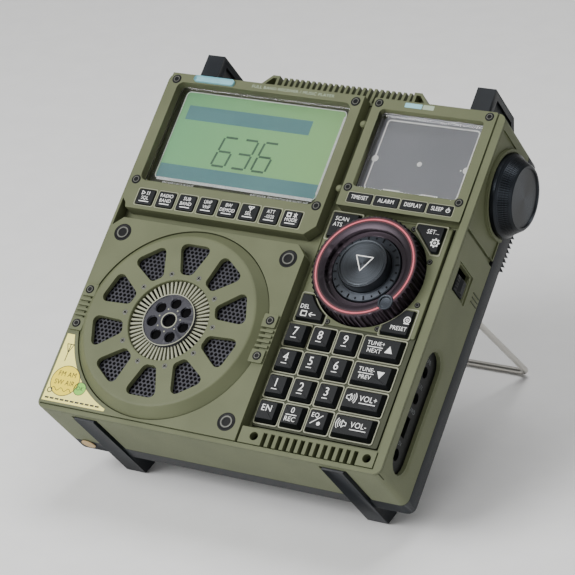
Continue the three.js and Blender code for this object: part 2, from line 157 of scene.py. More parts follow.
def turned(name, rows, centre=(0, 0), sides=96, closed=False):
    """A turned piece: rows of (radius, y) spun about an axis along Y through centre (x, z)."""
    mesh = bpy.data.meshes.new(name)
    links = [(i, i + 1) for i in range(len(rows) - 1)]
    if closed:
        links.append((len(rows) - 1, 0))
    mesh.from_pydata([(radius, y, 0) for radius, y in rows], links, [])
    piece = bpy.data.objects.new(name, mesh)
    bpy.context.scene.collection.objects.link(piece)
    edit(piece, "VERT")
    bpy.ops.mesh.select_all(action="SELECT")
    bpy.ops.mesh.spin(steps=sides, angle=2 * math.pi, center=(0, 0, 0), axis=(0, 1, 0))
    bpy.ops.mesh.select_all(action="SELECT")
    bpy.ops.mesh.remove_doubles(threshold=0.002)
    bpy.ops.mesh.normals_make_consistent(inside=False)
    leave_edit()
    return moved(piece, (centre[0], 0, centre[1]))


def prism(name, outline, low, high, along="X"):
    """An outline drawn in the other two axes, extruded along one axis from low to high."""
    if along == "X":
        points = [(low, a, b) for a, b in outline]
    else:
        points = [(a, low, b) for a, b in outline]
    mesh = bpy.data.meshes.new(name)
    mesh.from_pydata(points, [], [range(len(points))])
    piece = bpy.data.objects.new(name, mesh)
    bpy.context.scene.collection.objects.link(piece)
    edit(piece)
    bpy.ops.mesh.select_all(action="SELECT")
    far = high - low
    bpy.ops.mesh.extrude_region_move(TRANSFORM_OT_translate={"value": (far, 0, 0) if along == "X" else (0, far, 0)})
    bpy.ops.mesh.select_all(action="SELECT")
    bpy.ops.mesh.normals_make_consistent(inside=False)
    leave_edit()
    return piece


def moved(piece, shift=(0, 0, 0), spin=0.0, axis="Y", about=(0, 0, 0)):
    """Turns a piece by an angle about a point, then shifts it, in its mesh."""
    about = Vector(about)
    matrix = (Matrix.Translation(Vector(shift)) @ Matrix.Translation(about)
              @ Matrix.Rotation(spin, 4, axis) @ Matrix.Translation(-about))
    piece.matrix_world = matrix @ piece.matrix_world
    only(piece)
    bpy.ops.object.transform_apply(location=True, rotation=True, scale=True)
    return piece


def copy_of(piece, name=None):
    twin = piece.copy()
    twin.data = piece.data.copy()
    twin.name = name or piece.name
    bpy.context.scene.collection.objects.link(twin)
    return twin


def joined(name, pieces):
    only(*pieces)
    if len(pieces) > 1:
        bpy.ops.object.join()
    pieces[0].name = name
    return pieces[0]


def cut(piece, tools, how="DIFFERENCE", solver="MANIFOLD"):
    """Cuts with one or many tools, and throws the tools away."""
    tool = joined("tool", tools) if isinstance(tools, list) else tools
    only(piece)
    knife = piece.modifiers.new("cut", "BOOLEAN")
    knife.object = tool
    knife.operation = how
    knife.solver = solver
    bpy.ops.object.modifier_apply(modifier=knife.name)
    bpy.data.objects.remove(tool)
    return piece


def soften(piece, width=0.3, segments=2, angle=40):
    """Small rounded edges, which catch the light as moulded edges do."""
    only(piece)
    edge = piece.modifiers.new("edges", "BEVEL")
    edge.width = width
    edge.segments = segments
    edge.limit_method = "ANGLE"
    edge.angle_limit = math.radians(angle)
    edge.use_clamp_overlap = True
    bpy.ops.object.modifier_apply(modifier=edge.name)
    bpy.ops.object.shade_smooth_by_angle(angle=math.radians(32))
    flat = piece.modifiers.new("flat_faces", "WEIGHTED_NORMAL")
    flat.keep_sharp = True
    flat.weight = 80
    bpy.ops.object.modifier_apply(modifier=flat.name)
    return piece


def refined(node, width=0.3, segments=2):
    """A working copy of a CAD node on the drawing board: merged, its flat faces joined up."""
    source = frame["nodes"][node]
    piece = copy_of(source, node + "_shell")
    world = source.matrix_world.copy()
    piece.parent = None
    piece.matrix_world = LEAN.inverted() @ world
    only(piece)
    bpy.ops.object.transform_apply(location=True, rotation=True, scale=True)
    edit(piece, "VERT")
    bpy.ops.mesh.select_all(action="SELECT")
    bpy.ops.mesh.remove_doubles(threshold=0.002)
    bpy.ops.mesh.dissolve_limited(angle_limit=math.radians(0.5))
    leave_edit()
    return soften(piece, width, segments) if width else piece


def lettering(text, x, z, y, height, width=1.0, slant=0.0, turn_by=0.0):
    """Printed letters standing a hair proud of a face that looks towards -Y."""
    only()
    bpy.ops.object.text_add(location=(0, 0, 0))
    words = bpy.context.object
    words.data.body = text
    words.data.size = height * 1.38
    words.data.align_x = "CENTER"
    words.data.align_y = "CENTER"
    words.data.shear = slant
    words.data.space_line = 0.82
    words.data.space_character = 1.06
    words.data.extrude = 0.02
    words.data.resolution_u = 3
    bpy.ops.object.convert(target="MESH")
    words = bpy.context.object
    words.matrix_world = (Matrix.Translation((x, y, z)) @ Matrix.Rotation(turn_by, 4, "Y")
                          @ Matrix.Rotation(math.pi / 2, 4, "X") @ Matrix.Diagonal((width, 1, 1, 1)))
    only(words)
    bpy.ops.object.transform_apply(location=True, rotation=True, scale=True)
    return words


def bar(x0, x1, z0, z1, y, thick=0.04):
    """A thin flat bar on a face that looks towards -Y."""
    return block("bar", (x0, y - thick / 2, z0), (x1, y + thick / 2, z1))


def stroke(x0, z0, x1, z1, y, wide=0.3):
    """A straight flat line of a given width between two points."""
    length = math.hypot(x1 - x0, z1 - z0)
    line = bar(-length / 2, length / 2, -wide / 2, wide / 2, y)
    moved(line, spin=-math.atan2(z1 - z0, x1 - x0))
    return moved(line, ((x0 + x1) / 2, 0, (z0 + z1) / 2))


def ring(x, z, radius, wide, y, sides=32, thick=0.04):
    """A thin flat ring on a face that looks towards -Y."""
    inner = max(radius - wide, 0.001)
    return turned("ring", [(inner, y - thick / 2), (radius, y - thick / 2), (radius, y + thick / 2),
                           (inner, y + thick / 2)], (x, z), sides, closed=True)


print("helpers ready")

# %% [markdown]
# ## Finishes
# A finish is one small node tree. Colours are written as the sRGB hex values that a
# painter would pick, and one function turns them to the linear values a shader needs.

# %% Colour and node helpers
def srgb(code):
    parts = [int(code[i:i + 2], 16) / 255 for i in (0, 2, 4)]
    return [p / 12.92 if p <= 0.04045 else ((p + 0.055) / 1.055) ** 2.4 for p in parts] + [1.0]


def node(material, kind, links=None, **settings):
    """Adds a node, sets its settings or input values, and links inputs from (node, output) pairs."""
    made = material.node_tree.nodes.new("ShaderNode" + kind)
    for key, value in settings.items():
        setattr(made, key, value)
    for key, value in (links or {}).items():
        if isinstance(value, tuple) and hasattr(value[0], "outputs"):
            material.node_tree.links.new(value[0].outputs[value[1]], made.inputs[key])
        else:
            made.inputs[key].default_value = value
    return made


def finish(name, colour, roughness, metallic=0.0, ior=1.5, coat=0.0):
    material = bpy.data.materials.new(name)
    material.use_nodes = True
    shader = material.node_tree.nodes["Principled BSDF"]
    shader.inputs["Base Color"].default_value = srgb(colour)
    shader.inputs["Roughness"].default_value = roughness
    shader.inputs["Metallic"].default_value = metallic
    shader.inputs["IOR"].default_value = ior
    shader.inputs["Coat Weight"].default_value = coat
    return material, shader


def link(material, source, output, target, socket):
    material.node_tree.links.new(source.outputs[output], target.inputs[socket])


def grained(name, colour, other, roughness, grain_mm, bump, blotch_mm=18, swing=0.08, ior=1.5, metallic=0.0,
            gloss=0.5):
    """Moulded plastic: a fine even grain in the surface and a slow drift of colour."""
    material, shader = finish(name, colour, roughness, metallic, ior)
    shader.inputs["Specular IOR Level"].default_value = gloss
    place = node(material, "TexCoord")
    grain = node(material, "TexNoise", {"Vector": (place, "Object"), "Scale": 1 / (grain_mm * 0.001),
                                        "Detail": 3.0, "Roughness": 0.6})
    cloud = node(material, "TexNoise", {"Vector": (place, "Object"), "Scale": 1 / (blotch_mm * 0.001),
                                        "Detail": 2.0})
    tint = node(material, "ValToRGB", {"Fac": (cloud, "Fac")})
    tint.color_ramp.elements[0].position = 0.35
    tint.color_ramp.elements[0].color = srgb(colour)
    tint.color_ramp.elements[1].position = 0.7
    tint.color_ramp.elements[1].color = srgb(other)
    link(material, tint, "Color", shader, "Base Color")
    sheen = node(material, "MapRange", {"Value": (grain, "Fac"), "From Min": 0.3, "From Max": 0.7,
                                        "To Min": roughness - swing, "To Max": roughness + swing})
    link(material, sheen, "Result", shader, "Roughness")
    relief = node(material, "Bump", {"Height": (grain, "Fac"), "Strength": bump, "Distance": 0.00005})
    link(material, relief, "Normal", shader, "Normal")
    return material


# %% Plastics, metals, glass and inks
# ABS is a hard moulding plastic. Spark-eroded moulds leave it a fine, dull grain.
olive_abs = grained("olive_moulded_abs", "5b6046", "61664b", 0.55, 0.35, 0.25, gloss=0.3)
# The darker olive is the same plastic painted darker as shade, for gaps and recesses where little light falls.
olive_abs_painted_shade = grained("olive_abs_with_painted_shade", "343825", "3a3e2a", 0.55, 0.35, 0.25, gloss=0.3)
black_abs = grained("black_moulded_abs", "171a1e", "1c2025", 0.5, 0.4, 0.3, gloss=0.3)
# Keys are pressed with the same grain but a softer touch.
key_abs = grained("black_key_abs", "0b0e10", "0f1215", 0.5, 0.3, 0.2, gloss=0.25)
mat_abs = grained("black_key_mat_abs", "0d0f0e", "111312", 0.55, 0.4, 0.25, gloss=0.25)
# The pale line round each key well is olive plastic painted lighter: a painted highlight where the edge catches the
# light.
olive_painted_highlight_abs = grained("pale_olive_painted_highlight_abs", "8e9079", "999b84", 0.42, 0.4, 0.15)
red_enamel = grained("red_enamel_inlay", "cf5a68", "d56874", 0.35, 0.4, 0.05, 6)
red_groove_painted_shade = grained("dark_red_painted_groove_shade", "3c0c14", "47121a", 0.45, 0.4, 0.05, 6)
# Pad printing leaves an ink film that is slightly uneven, so each ink drifts a little.
white_ink = grained("white_pad_print_ink", "e6e7e4", "f2f2ef", 0.5, 0.25, 0.1, 3)
pale_ink = grained("pale_green_pad_print_ink", "93a38c", "9fae98", 0.55, 0.25, 0.1, 3)
faint_ink = grained("worn_grey_pad_print_ink", "4a4e50", "6b6f70", 0.55, 0.25, 0.1, 1.5)
dark_ink = grained("dark_printing_ink", "141512", "1c1e1a", 0.5, 0.25, 0.1, 3)
socket_black = grained("blackened_screw_steel", "08090a", "0e0f10", 0.5, 0.2, 0.2, 4, gloss=0.2)
screw_zinc = grained("black_oxide_screw_head_steel", "5a5b55", "66675f", 0.45, 0.2, 0.2, 4, metallic=0.4)
print(len(bpy.data.materials), "materials so far")

# %% [markdown]
# The tuning dial's faces are turned on a lathe, so their highlight is drawn out along
# circles. A noise that is stretched round the dial's axis gives that: we feed it the
# radius alone, so that it changes across the rings and never along them.

# %% Turned and knurled metal
def spun_metal(name, colour, other, centre, axis, side, roughness=0.34, ring_mm=0.22):
    """Anodised metal turned on a lathe: fine circles round an axis, and slow bright sectors painted into the colour as
    a highlight.
    """
    material, shader = finish(name, colour, roughness, metallic=0.75)
    place = node(material, "TexCoord")
    radial = node(material, "VectorMath", {0: (place, "Object"), 1: centre}, operation="SUBTRACT")
    along = node(material, "VectorMath", {0: (radial, "Vector"), 1: axis}, operation="DOT_PRODUCT")
    part = node(material, "VectorMath", {0: axis, "Scale": (along, "Value")}, operation="SCALE")
    flat = node(material, "VectorMath", {0: (radial, "Vector"), 1: (part, "Vector")}, operation="SUBTRACT")
    radius = node(material, "VectorMath", {0: (flat, "Vector")}, operation="LENGTH")
    circles = node(material, "TexNoise", {"W": (radius, "Value"), "Scale": 1 / (ring_mm * 0.001), "Detail": 2.0},
                   noise_dimensions="1D")
    tint = node(material, "ValToRGB", {"Fac": (circles, "Fac")})
    tint.color_ramp.elements[0].position = 0.3
    tint.color_ramp.elements[0].color = srgb(colour)
    tint.color_ramp.elements[1].position = 0.72
    tint.color_ramp.elements[1].color = srgb(other)
    # Painted highlight: the colour is made lighter and darker in two pairs of opposite sectors round the axis, as
    # turned metal catches the light.
    other_side = axis.cross(side)
    first = node(material, "VectorMath", {0: (flat, "Vector"), 1: side}, operation="DOT_PRODUCT")
    second = node(material, "VectorMath", {0: (flat, "Vector"), 1: other_side}, operation="DOT_PRODUCT")
    angle = node(material, "Math", {0: (first, "Value"), 1: (second, "Value")}, operation="ARCTAN2")
    double = node(material, "Math", {0: (angle, "Value"), 1: 2.0}, operation="MULTIPLY")
    wave = node(material, "Math", {0: (double, "Value")}, operation="COSINE")
    sector = node(material, "MapRange", {"Value": (wave, "Value"), "From Min": -1.0, "From Max": 1.0,
                                         "To Min": 0.6, "To Max": 1.95})
    shaded = node(material, "VectorMath", {0: (tint, "Color"), "Scale": (sector, "Result")}, operation="SCALE")
    link(material, shaded, "Vector", shader, "Base Color")
    relief = node(material, "Bump", {"Height": (circles, "Fac"), "Strength": 0.35, "Distance": 0.00006})
    link(material, relief, "Normal", shader, "Normal")
    return material


def room(x, y, z):
    return LEAN @ Vector((x, y, z))


dial_metal = spun_metal("black_anodised_turned_aluminium_dial", "202327", "34383e",
                        room(DIAL.x, 0, DIAL.z), inward, (across * 0.85 + upward * 0.53).normalized())
cap_metal = spun_metal("black_anodised_turned_aluminium_cap", "282b2e", "3d4146",
                       room(DIAL.x, 0, DIAL.z), inward, (across * 0.85 + upward * 0.53).normalized())
side_metal = spun_metal("black_anodised_turned_aluminium_side_knob", "121519", "262a2f",
                        room(84, 25.5, 142.7), across, upward)
ring_metal = spun_metal("brown_black_anodised_aluminium_ring", "221d22", "30282e",
                        room(DIAL.x, 0, DIAL.z), inward, (across * 0.85 + upward * 0.53).normalized(), 0.38)
# Drawn steel wire is bright, with faint marks along its length.
steel_wire, wire_shader = finish("drawn_bright_steel_wire", "c9c6bf", 0.3, metallic=0.9)
wire_place = node(steel_wire, "TexCoord")
wire_marks = node(steel_wire, "TexNoise", {"Vector": (wire_place, "Object"), "Scale": 350.0, "Detail": 2.0})
wire_rough = node(steel_wire, "MapRange", {"Value": (wire_marks, "Fac"), "To Min": 0.3, "To Max": 0.38})
link(steel_wire, wire_rough, "Result", wire_shader, "Roughness")
# The window is a thin clear acrylic sheet.
acrylic, acrylic_shader = finish("clear_acrylic_window", "ffffff", 0.04, ior=1.49)
acrylic_shader.inputs["Transmission Weight"].default_value = 1.0
# The white line round the display glass is a painted highlight of the glass edge; the same
# white also prints the band names under it.
glass_edge_highlight_and_print_ink = grained("white_print_ink_and_painted_glass_edge_highlight", "dfe3e0", "f2f5f2", 0.3, 0.3, 0.1, 12, metallic=0.4)
paper_yellow, yellow_shader = finish("pale_yellow_paper_label", "fff684", 0.55)
paper_place = node(paper_yellow, "TexCoord")
paper_fibre = node(paper_yellow, "TexNoise", {"Vector": (paper_place, "Object"), "Scale": 1500.0})
paper_relief = node(paper_yellow, "Bump", {"Height": (paper_fibre, "Fac"), "Strength": 0.15, "Distance": 0.00003})
link(paper_yellow, paper_relief, "Normal", yellow_shader, "Normal")
amber_ink = grained("amber_label_ink", "f7dc00", "fae31a", 0.5, 0.25, 0.1, 4)
green_ink = grained("light_green_label_ink", "7cc442", "86ca4c", 0.5, 0.25, 0.1, 4)
blue_label = grained("pale_blue_vinyl_label", "7fb9c4", "8cc2cb", 0.5, 0.3, 0.1, 8)
tan_felt = grained("tan_felt_pad", "c3a97f", "b79c70", 0.8, 0.5, 0.8)
perforated_steel = grained("grey_painted_perforated_steel", "282830", "303038", 0.5, 0.3, 0.2, 10, metallic=0.2)
# Black for hollows: the shade inside holes, slots, bores and engraved ticks is painted with it.
hollow_painted_shade = grained("black_painted_shade_in_hollows", "040405", "070708", 0.9, 0.5, 0.1, gloss=0.1)
print("turned metals, wire, acrylic and papers ready")

# %% [markdown]
# ## The reflective display
# A passive display is a green sheet behind glass. Its light comes from the room, so it
# is paint, not a lamp, with a slow drift from a cool left side to a warm right side.

# %% Display green
display_green, display_shader = finish("reflective_display_green", "84c081", 0.4)
display_place = node(display_green, "TexCoord")
display_split = node(display_green, "SeparateXYZ", {"Vector": (display_place, "Object")})
display_ramp = node(display_green, "MapRange", {"Value": (display_split, "X"),
                                                "From Min": room(-75, 0, 0).x, "From Max": room(10, 0, 0).x})
display_tint = node(display_green, "ValToRGB", {"Fac": (display_ramp, "Result")})
display_tint.color_ramp.elements[0].color = srgb("79be83")
display_tint.color_ramp.elements[1].color = srgb("92c47e")
link(display_green, display_tint, "Color", display_shader, "Base Color")
display_bar = grained("blue_grey_display_band", "55868a", "5d8e90", 0.4, 0.5, 0.03, 25)
display_ink = grained("display_segment_ink", "40624a", "466850", 0.45, 0.4, 0.03, 8)
clock_grey = grained("grey_clock_face_film", "7c7d83", "818288", 0.45, 0.5, 0.05, 30)
print("display finishes ready")

# %% [markdown]
# ## Placing a finished piece
# Every piece leaves the drawing board the same way: it gets its finishes, it is leaned
# into place, it rides on a CAD body, and the CAD node that it stands for is hidden.

# %% Put a piece in place
placed = []


def put(piece, body, materials=None, replaces=()):
    if materials is not None:
        piece.data.materials.clear()
        for material in materials if isinstance(materials, (list, tuple)) else [materials]:
            piece.data.materials.append(material)
    piece.matrix_world = LEAN @ piece.matrix_world
    only(piece)
    bpy.ops.object.transform_apply(location=True, rotation=True, scale=True)
    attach(piece, body)
    if replaces:
        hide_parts(*([replaces] if isinstance(replaces, str) else replaces))
    placed.append(piece.name)
    return piece


def painted(piece, material):
    piece.data.materials.clear()
    piece.data.materials.append(material)
    return piece


# %% [markdown]
# ## Socket screws
# The panels are held by black socket screws. One screw is modelled: a turned head with
# a chamfer, sunk in a dark seat, with a six-sided socket. Copies go to every place.

# %% One socket screw, then copies
def socket_screw(radius, x, z, y, spin=0.3):
    """A socket screw: its black seat, its head with a pale ring at its edge, and its six-sided hole, whose floor is
    painted black as shade.
    """
    seat = turned("seat", [(0, 0.02), (0, -0.05), (radius * 0.8, -0.05), (radius * 0.96, -0.14), (radius * 1.04, -0.1),
                           (radius * 1.08, 0.02)], sides=40)
    painted(seat, socket_black)
    head = turned("head", [(0, 0.0), (0, -0.2), (radius * 0.58, -0.2), (radius * 0.68, -0.1),
                           (radius * 0.68, 0.0)], sides=40)
    only()
    bpy.ops.mesh.primitive_cylinder_add(vertices=6, radius=radius * 0.4, depth=0.36)
    key = bpy.context.object
    moved(key, spin=math.pi / 2, axis="X")
    moved(key, (0, -0.3, 0), spin=spin)
    cut(head, key, solver="EXACT")
    painted(head, socket_black)
    pale_edge_ring = painted(ring(0, 0, radius * 0.7, radius * 0.16, -0.2, 40), screw_zinc)
    floor = painted(turned("floor", [(0, -0.11), (radius * 0.42, -0.11)], sides=12), hollow_painted_shade)
    for part in (seat, head, pale_edge_ring, floor):
        moved(part, (x, y, z))
    return [seat, head, pale_edge_ring, floor]


def cross_screw(radius, x, z, y):
    """A small countersunk screw with a cross slot."""
    head = turned("head", [(0, 0), (0, -0.12), (radius * 0.8, -0.12), (radius, 0)], sides=24)
    painted(head, screw_zinc)
    # The cross slot is painted black as the shade inside it.
    slots = [painted(stroke(-radius * 0.6, 0, radius * 0.6, 0, -0.13, radius * 0.28), hollow_painted_shade),
             painted(stroke(0, -radius * 0.6, 0, radius * 0.6, -0.13, radius * 0.28), hollow_painted_shade)]
    for slot in slots:
        moved(slot, spin=0.5)
    for part in [head] + slots:
        moved(part, (x, y, z))
    return [head] + slots


panel_screws = []
for x, z in ((-79.5, 113.2), (12.5, 113.2), (-79.5, 165.3), (12.5, 165.3)):
    panel_screws += socket_screw(2.1, x, z, 0)
for x, z in ((23.9, 124.2), (76.9, 124.2), (23.9, 166), (76.9, 166)):
    panel_screws += socket_screw(1.9, x, z, 0)
for x, z in ((-75.5, 86.8), (8.8, 86.8), (8.8, 9.5)):
    panel_screws += socket_screw(3.9, x, z, 0)
for x in (-79.4, 12):
    for z in (57, 40.4):
        panel_screws += socket_screw(1.9, x, z, -1.2)
put(joined("panel_socket_screws", panel_screws), "case")

# %% [markdown]
# ## Case shells
# The front frame, housing and rear cover already have the right form. A real moulding
# has no razor edges, so a copy of each gets a small bevel before it takes its grain.

# %% Frame, housing and rear cover
frame_shell = put(refined("front_frame", 0.3), "case", olive_abs, "front_frame")
housing_shell = refined("main_housing", 0)


def side_tool(y0, y1, z0, z1, depth, slope=0.0, corner=0.0):
    """A tool that sinks a field into the right wall, wider at the surface by slope."""
    tool = block("side_tool", (84 - depth, y0, z0), (86, y1, z1), corner, "X", 8)
    if slope:
        only(tool)
        pick_faces(tool, lambda centre, normal: normal.x > 0.9)
        edit(tool)
        grow = (2 + depth) / depth * slope * 2
        bpy.ops.transform.resize(value=(1, (y1 - y0 + grow) / (y1 - y0), (z1 - z0 + grow) / (z1 - z0)),
                                 center_override=(86, (y0 + y1) / 2, (z0 + z1) / 2))
        leave_edit()
    return tool


collar = moved(turned("collar", [(0, -90), (20.3, -90), (20.3, 90), (0, 90)], (0, 0), 96), spin=-math.pi / 2, axis="Z")
moved(collar, (0, 25.5, 142.7))
knob_field = side_tool(3.2, 33.2, 115.4, 162.5, 0.7)
cut(knob_field, collar, solver="EXACT")
cut(housing_shell, knob_field)
for tool in (side_tool(2.4, 36, 113.0, 114.5, 1.2), side_tool(29, 36, 112.4, 115.1, 1.4),
             side_tool(5.6, 21.8, 87.2, 100.6, 0.6), side_tool(7.6, 20, 88.2, 98.4, 1.0, 0.4),
             side_tool(7.4, 23.2, 5.8, 62.6, 0.6, 0.9, 7.2)):
    cut(housing_shell, tool)
for side in (-1, 1):
    outline = [(side * 43.2, 169.4), (side * 37.0, 176.4), (side * 35.2, 176.4), (side * 35.2, 169.4)]
    cut(housing_shell, prism("gusset_pocket", outline, 7, 13, "Y"))
soften(housing_shell, 0.3, 2)
put(housing_shell, "case", olive_abs, "main_housing")
cover_shell = refined("rear_cover", 0)
pocket = [(10.5, 171.5), (10.5, 179.6), (29.3, 179.6), (33.3, 175.6), (35.4, 171.5)]
for x in (-72.4, -63.6, 63.6, 72.4):
    cut(cover_shell, prism("bracket_pocket", pocket, x - 1.3, x + 1.3))
soften(cover_shell, 0.45, 3)
put(cover_shell, "case", black_abs, "rear_cover")
door_shell = put(refined("battery_door", 0.5, 3), "case", black_abs, "battery_door")
print("case shells:", [len(o.data.polygons) for o in (frame_shell, housing_shell, cover_shell)])

# %% [markdown]
# ## Display bezel and window
# The bezel's opening has sloped inner walls, like a picture mount. We take the CAD
# bezel, and a wedge-shaped tool opens the front of the hole. The glass sits below with
# a white line painted round its edge as a highlight, and the green sheet with its digits lies under it.

# %% Display bezel
def funnel(x0, x1, z0, z1, deep, flare, corner):
    """A tool that is wider at the front by flare on each side, for a sloped opening."""
    tool = block("funnel", (x0, -1, z0), (x1, deep, z1), corner)
    only(tool)
    pick_faces(tool, lambda centre, normal: normal.y < -0.9)
    edit(tool)
    middle = ((x0 + x1) / 2, 0, (z0 + z1) / 2)
    bpy.ops.transform.resize(value=((x1 - x0 + 2 * flare) / (x1 - x0), 1, (z1 - z0 + 2 * flare) / (z1 - z0)),
                             center_override=middle)
    leave_edit()
    return tool


lcd_shell = refined("lcd_bezel", 0)
cut(lcd_shell, funnel(-77.6, 10.6, 113.8, 163.8, 3.4, 1.3, 3))
soften(lcd_shell, 0.35, 3)
put(lcd_shell, "case", olive_abs, "lcd_bezel")
clock_shell = refined("clock_bezel", 0)
cut(clock_shell, funnel(26, 75, 125.6, 163, 3.0, 1.1, 2))
soften(clock_shell, 0.35, 3)
put(clock_shell, "case", olive_abs, "clock_bezel")
print("bezels:", len(lcd_shell.data.polygons), len(clock_shell.data.polygons))

# %% [markdown]
# ## Green display
# Seven strokes make a digit, and a slight lean makes the number easy to read. A thin
# white line, painted as the highlight of the glass edge, runs round the glass, with a row of
# small plain band names under it.

# %% Display sheet, band and digits
def frame_line(x0, x1, z0, z1, wide, y, corner=1.5):
    """A thin line round a rectangle with rounded corners."""
    outer = block("line", (x0, y - 0.03, z0), (x1, y + 0.03, z1), corner)
    inner = block("line_hole", (x0 + wide, y - 1, z0 + wide), (x1 - wide, y + 1, z1 - wide),
                  max(corner - wide, 0.05), segments=5)
    return cut(outer, inner)


SEGMENTS = {"0": "abcdef", "1": "bc", "2": "abdeg", "3": "abcdg", "4": "bcfg", "5": "acdfg",
            "6": "acdefg", "7": "abc", "8": "abcdefg", "9": "abcdfg"}


def digit(character, x, z, wide, high, y, stroke_wide=0.42, lean=0.14):
    """A slanted seven-stroke digit whose lower left corner is at (x, z)."""
    half, gap = high / 2, 0.5
    lines = {"a": (gap, high, wide - gap, high), "b": (wide, half + gap, wide, high - gap),
             "c": (wide, gap, wide, half - gap), "d": (gap, 0, wide - gap, 0),
             "e": (0, gap, 0, half - gap), "f": (0, half + gap, 0, high - gap),
             "g": (gap, half, wide - gap, half)}
    marks = []
    for name in SEGMENTS[character]:
        x0, z0, x1, z1 = lines[name]
        marks.append(stroke(x + x0 + z0 * lean, z + z0, x + x1 + z1 * lean, z + z1, y, stroke_wide))
    return marks


LCD_Y = 6.3
# The surround between the bezel wall and the glass is olive painted darker as shade.
surround = block("display_surround", (-77.4, LCD_Y + 0.3, 114.1), (10.4, LCD_Y + 1.4, 163.6), 2.5)
put(surround, "case", olive_abs_painted_shade)
sheet = block("display_sheet", (-75.1, LCD_Y, 118.1), (7.3, LCD_Y + 1.2, 162.8), 2.2)
put(soften(sheet, 0.2), "case", display_green, "lcd_module")
band_marks = [block("upper_band", (-71.3, LCD_Y - 0.05, 148.8), (-7.5, LCD_Y - 0.01, 156)),
              block("lower_band", (-74.5, LCD_Y - 0.05, 118.4), (6.6, LCD_Y - 0.01, 125.8))]
put(joined("display_bands", band_marks), "case", display_bar)
digits = []
for index, character in enumerate("636"):
    digits += digit(character, -49.4 + index * 10.3, 127.9, 7.0, 14.6, LCD_Y - 0.06, 1.05)
put(joined("display_digits", digits), "case", display_ink)
edge_lines = [frame_line(-75.2, 7.4, 118.0, 162.9, 0.4, LCD_Y - 0.1, 2.2)]
# The line is painted wider at the bottom and the right, where the glass edge catches more light.
edge_lines += [bar(-73.5, 6, 117.4, 118.8, LCD_Y - 0.12), bar(6.5, 7.6, 121, 160, LCD_Y - 0.12)]
edge_lines += [lettering("FM/AM/SW/AIR/VHF", -62, 116.3, LCD_Y + 0.2, 1.3),
               lettering("RECEIVER FM/AM/SW/AIR/VHF/UHF", -10, 116.3, LCD_Y + 0.2, 1.3)]
put(joined("display_edge_line", edge_lines), "case", glass_edge_highlight_and_print_ink)
pane = block("display_pane", (-77.7, 4.2, 113.7), (10.7, 5.2, 163.9), 2.8)
put(soften(pane, 0.06, 1), "case", acrylic, "lcd_window")
print("display done")

# %% [markdown]
# ## Clock window
# A grey film under the glass carries a white outline with tabs, two half-round marks at
# the sides and a centre dot.

# %% Clock face
CLOCK_Y = 5.6
film = block("clock_film", (26.4, CLOCK_Y, 126), (74.6, CLOCK_Y + 1.2, 162.6), 1.8)
put(soften(film, 0.2), "case", clock_grey, "clock_module")
face_y = CLOCK_Y - 0.06
face_marks = [frame_line(28.1, 72.9, 127.0, 161.4, 0.65, face_y, 1.8)]
face_marks += [bar(37.6, 45.6, 127.0, 128.1, face_y), bar(55.6, 63.6, 127.0, 128.1, face_y)]
for x in (28.6, 72.4):
    face_marks.append(turned("side_mark", [(0, face_y), (1.6, face_y)], (x, 141.9), 24))
face_marks.append(turned("centre_dot", [(0, face_y), (1.15, face_y)], (50.1, 141.9), 24))
face_marks.append(turned("dot", [(0, face_y), (0.4, face_y)], (69.9, 141.5), 16))
put(joined("clock_marks", face_marks), "case", white_ink)
clock_pane = block("clock_pane", (25.9, 3.2, 125.5), (75.1, 4.2, 163.1), 1.6)
put(soften(clock_pane, 0.06, 1), "case", acrylic, "clock_window")
print("clock done")

# %% [markdown]
# ## Speaker panel
# A flat plate with two cut corners carries a raised, coned disc. Ten windows with
# rounded corners are cut in the disc. Inside them lies a ring well full of thin fins
# and a dark hub with seven holes.

# %% Flat plate with its hole, lugs and ribs
SPEAKER = (-33.7, 48.2)
DISC_Y = -4.2
plate = block("speaker_plate", (-82.5, 0, 2.2), (15.7, 7, 94.2))
only(plate)
pick_edges(plate, lambda a, b: abs(a.y - b.y) > 6 and a.z > 94)
edit(plate, "EDGE")
bpy.ops.mesh.bevel(offset=4.6, segments=1, affect="EDGES")
leave_edit()
cut(plate, turned("hole", [(0, -2), (44.9, -2), (44.9, 9), (0, 9)], SPEAKER, 160))
soften(plate, 0.3, 2, 60)
lugs = []
for x in (-79.2, 11.8):
    left, right = max(x - 3.4, -83.3), min(x + 3.4, 15.6)
    for z in (57, 40.4):
        lugs.append(soften(block("lug", (left, -1.2, z - 3.1), (right, 1, z + 3.1), 0.6), 0.25))
    for index in range(4):
        z = 45.1 + index * 2.4
        lugs.append(soften(block("rib", (left, -1.1, z - 0.65), (right, 1, z + 0.65)), 0.25))
plate = joined("speaker_plate", [plate] + lugs)
put(plate, "case", olive_abs, "speaker_panel")
print("plate with", len(lugs), "lugs and ribs")

# %% Coned disc with ten windows
disc_rows = [(19.1, -3.9), (19.35, -4.15), (19.8, DISC_Y), (39.6, DISC_Y), (40.3, -4.0), (40.8, -3.5),
             (44.1, 0.15), (44.5, 0.5), (44.6, 1.2), (44.6, 3.0), (37.7, 3.0), (37.7, -1.5), (19.1, -1.5)]
disc = turned("speaker_disc", disc_rows, SPEAKER, 160, closed=True)


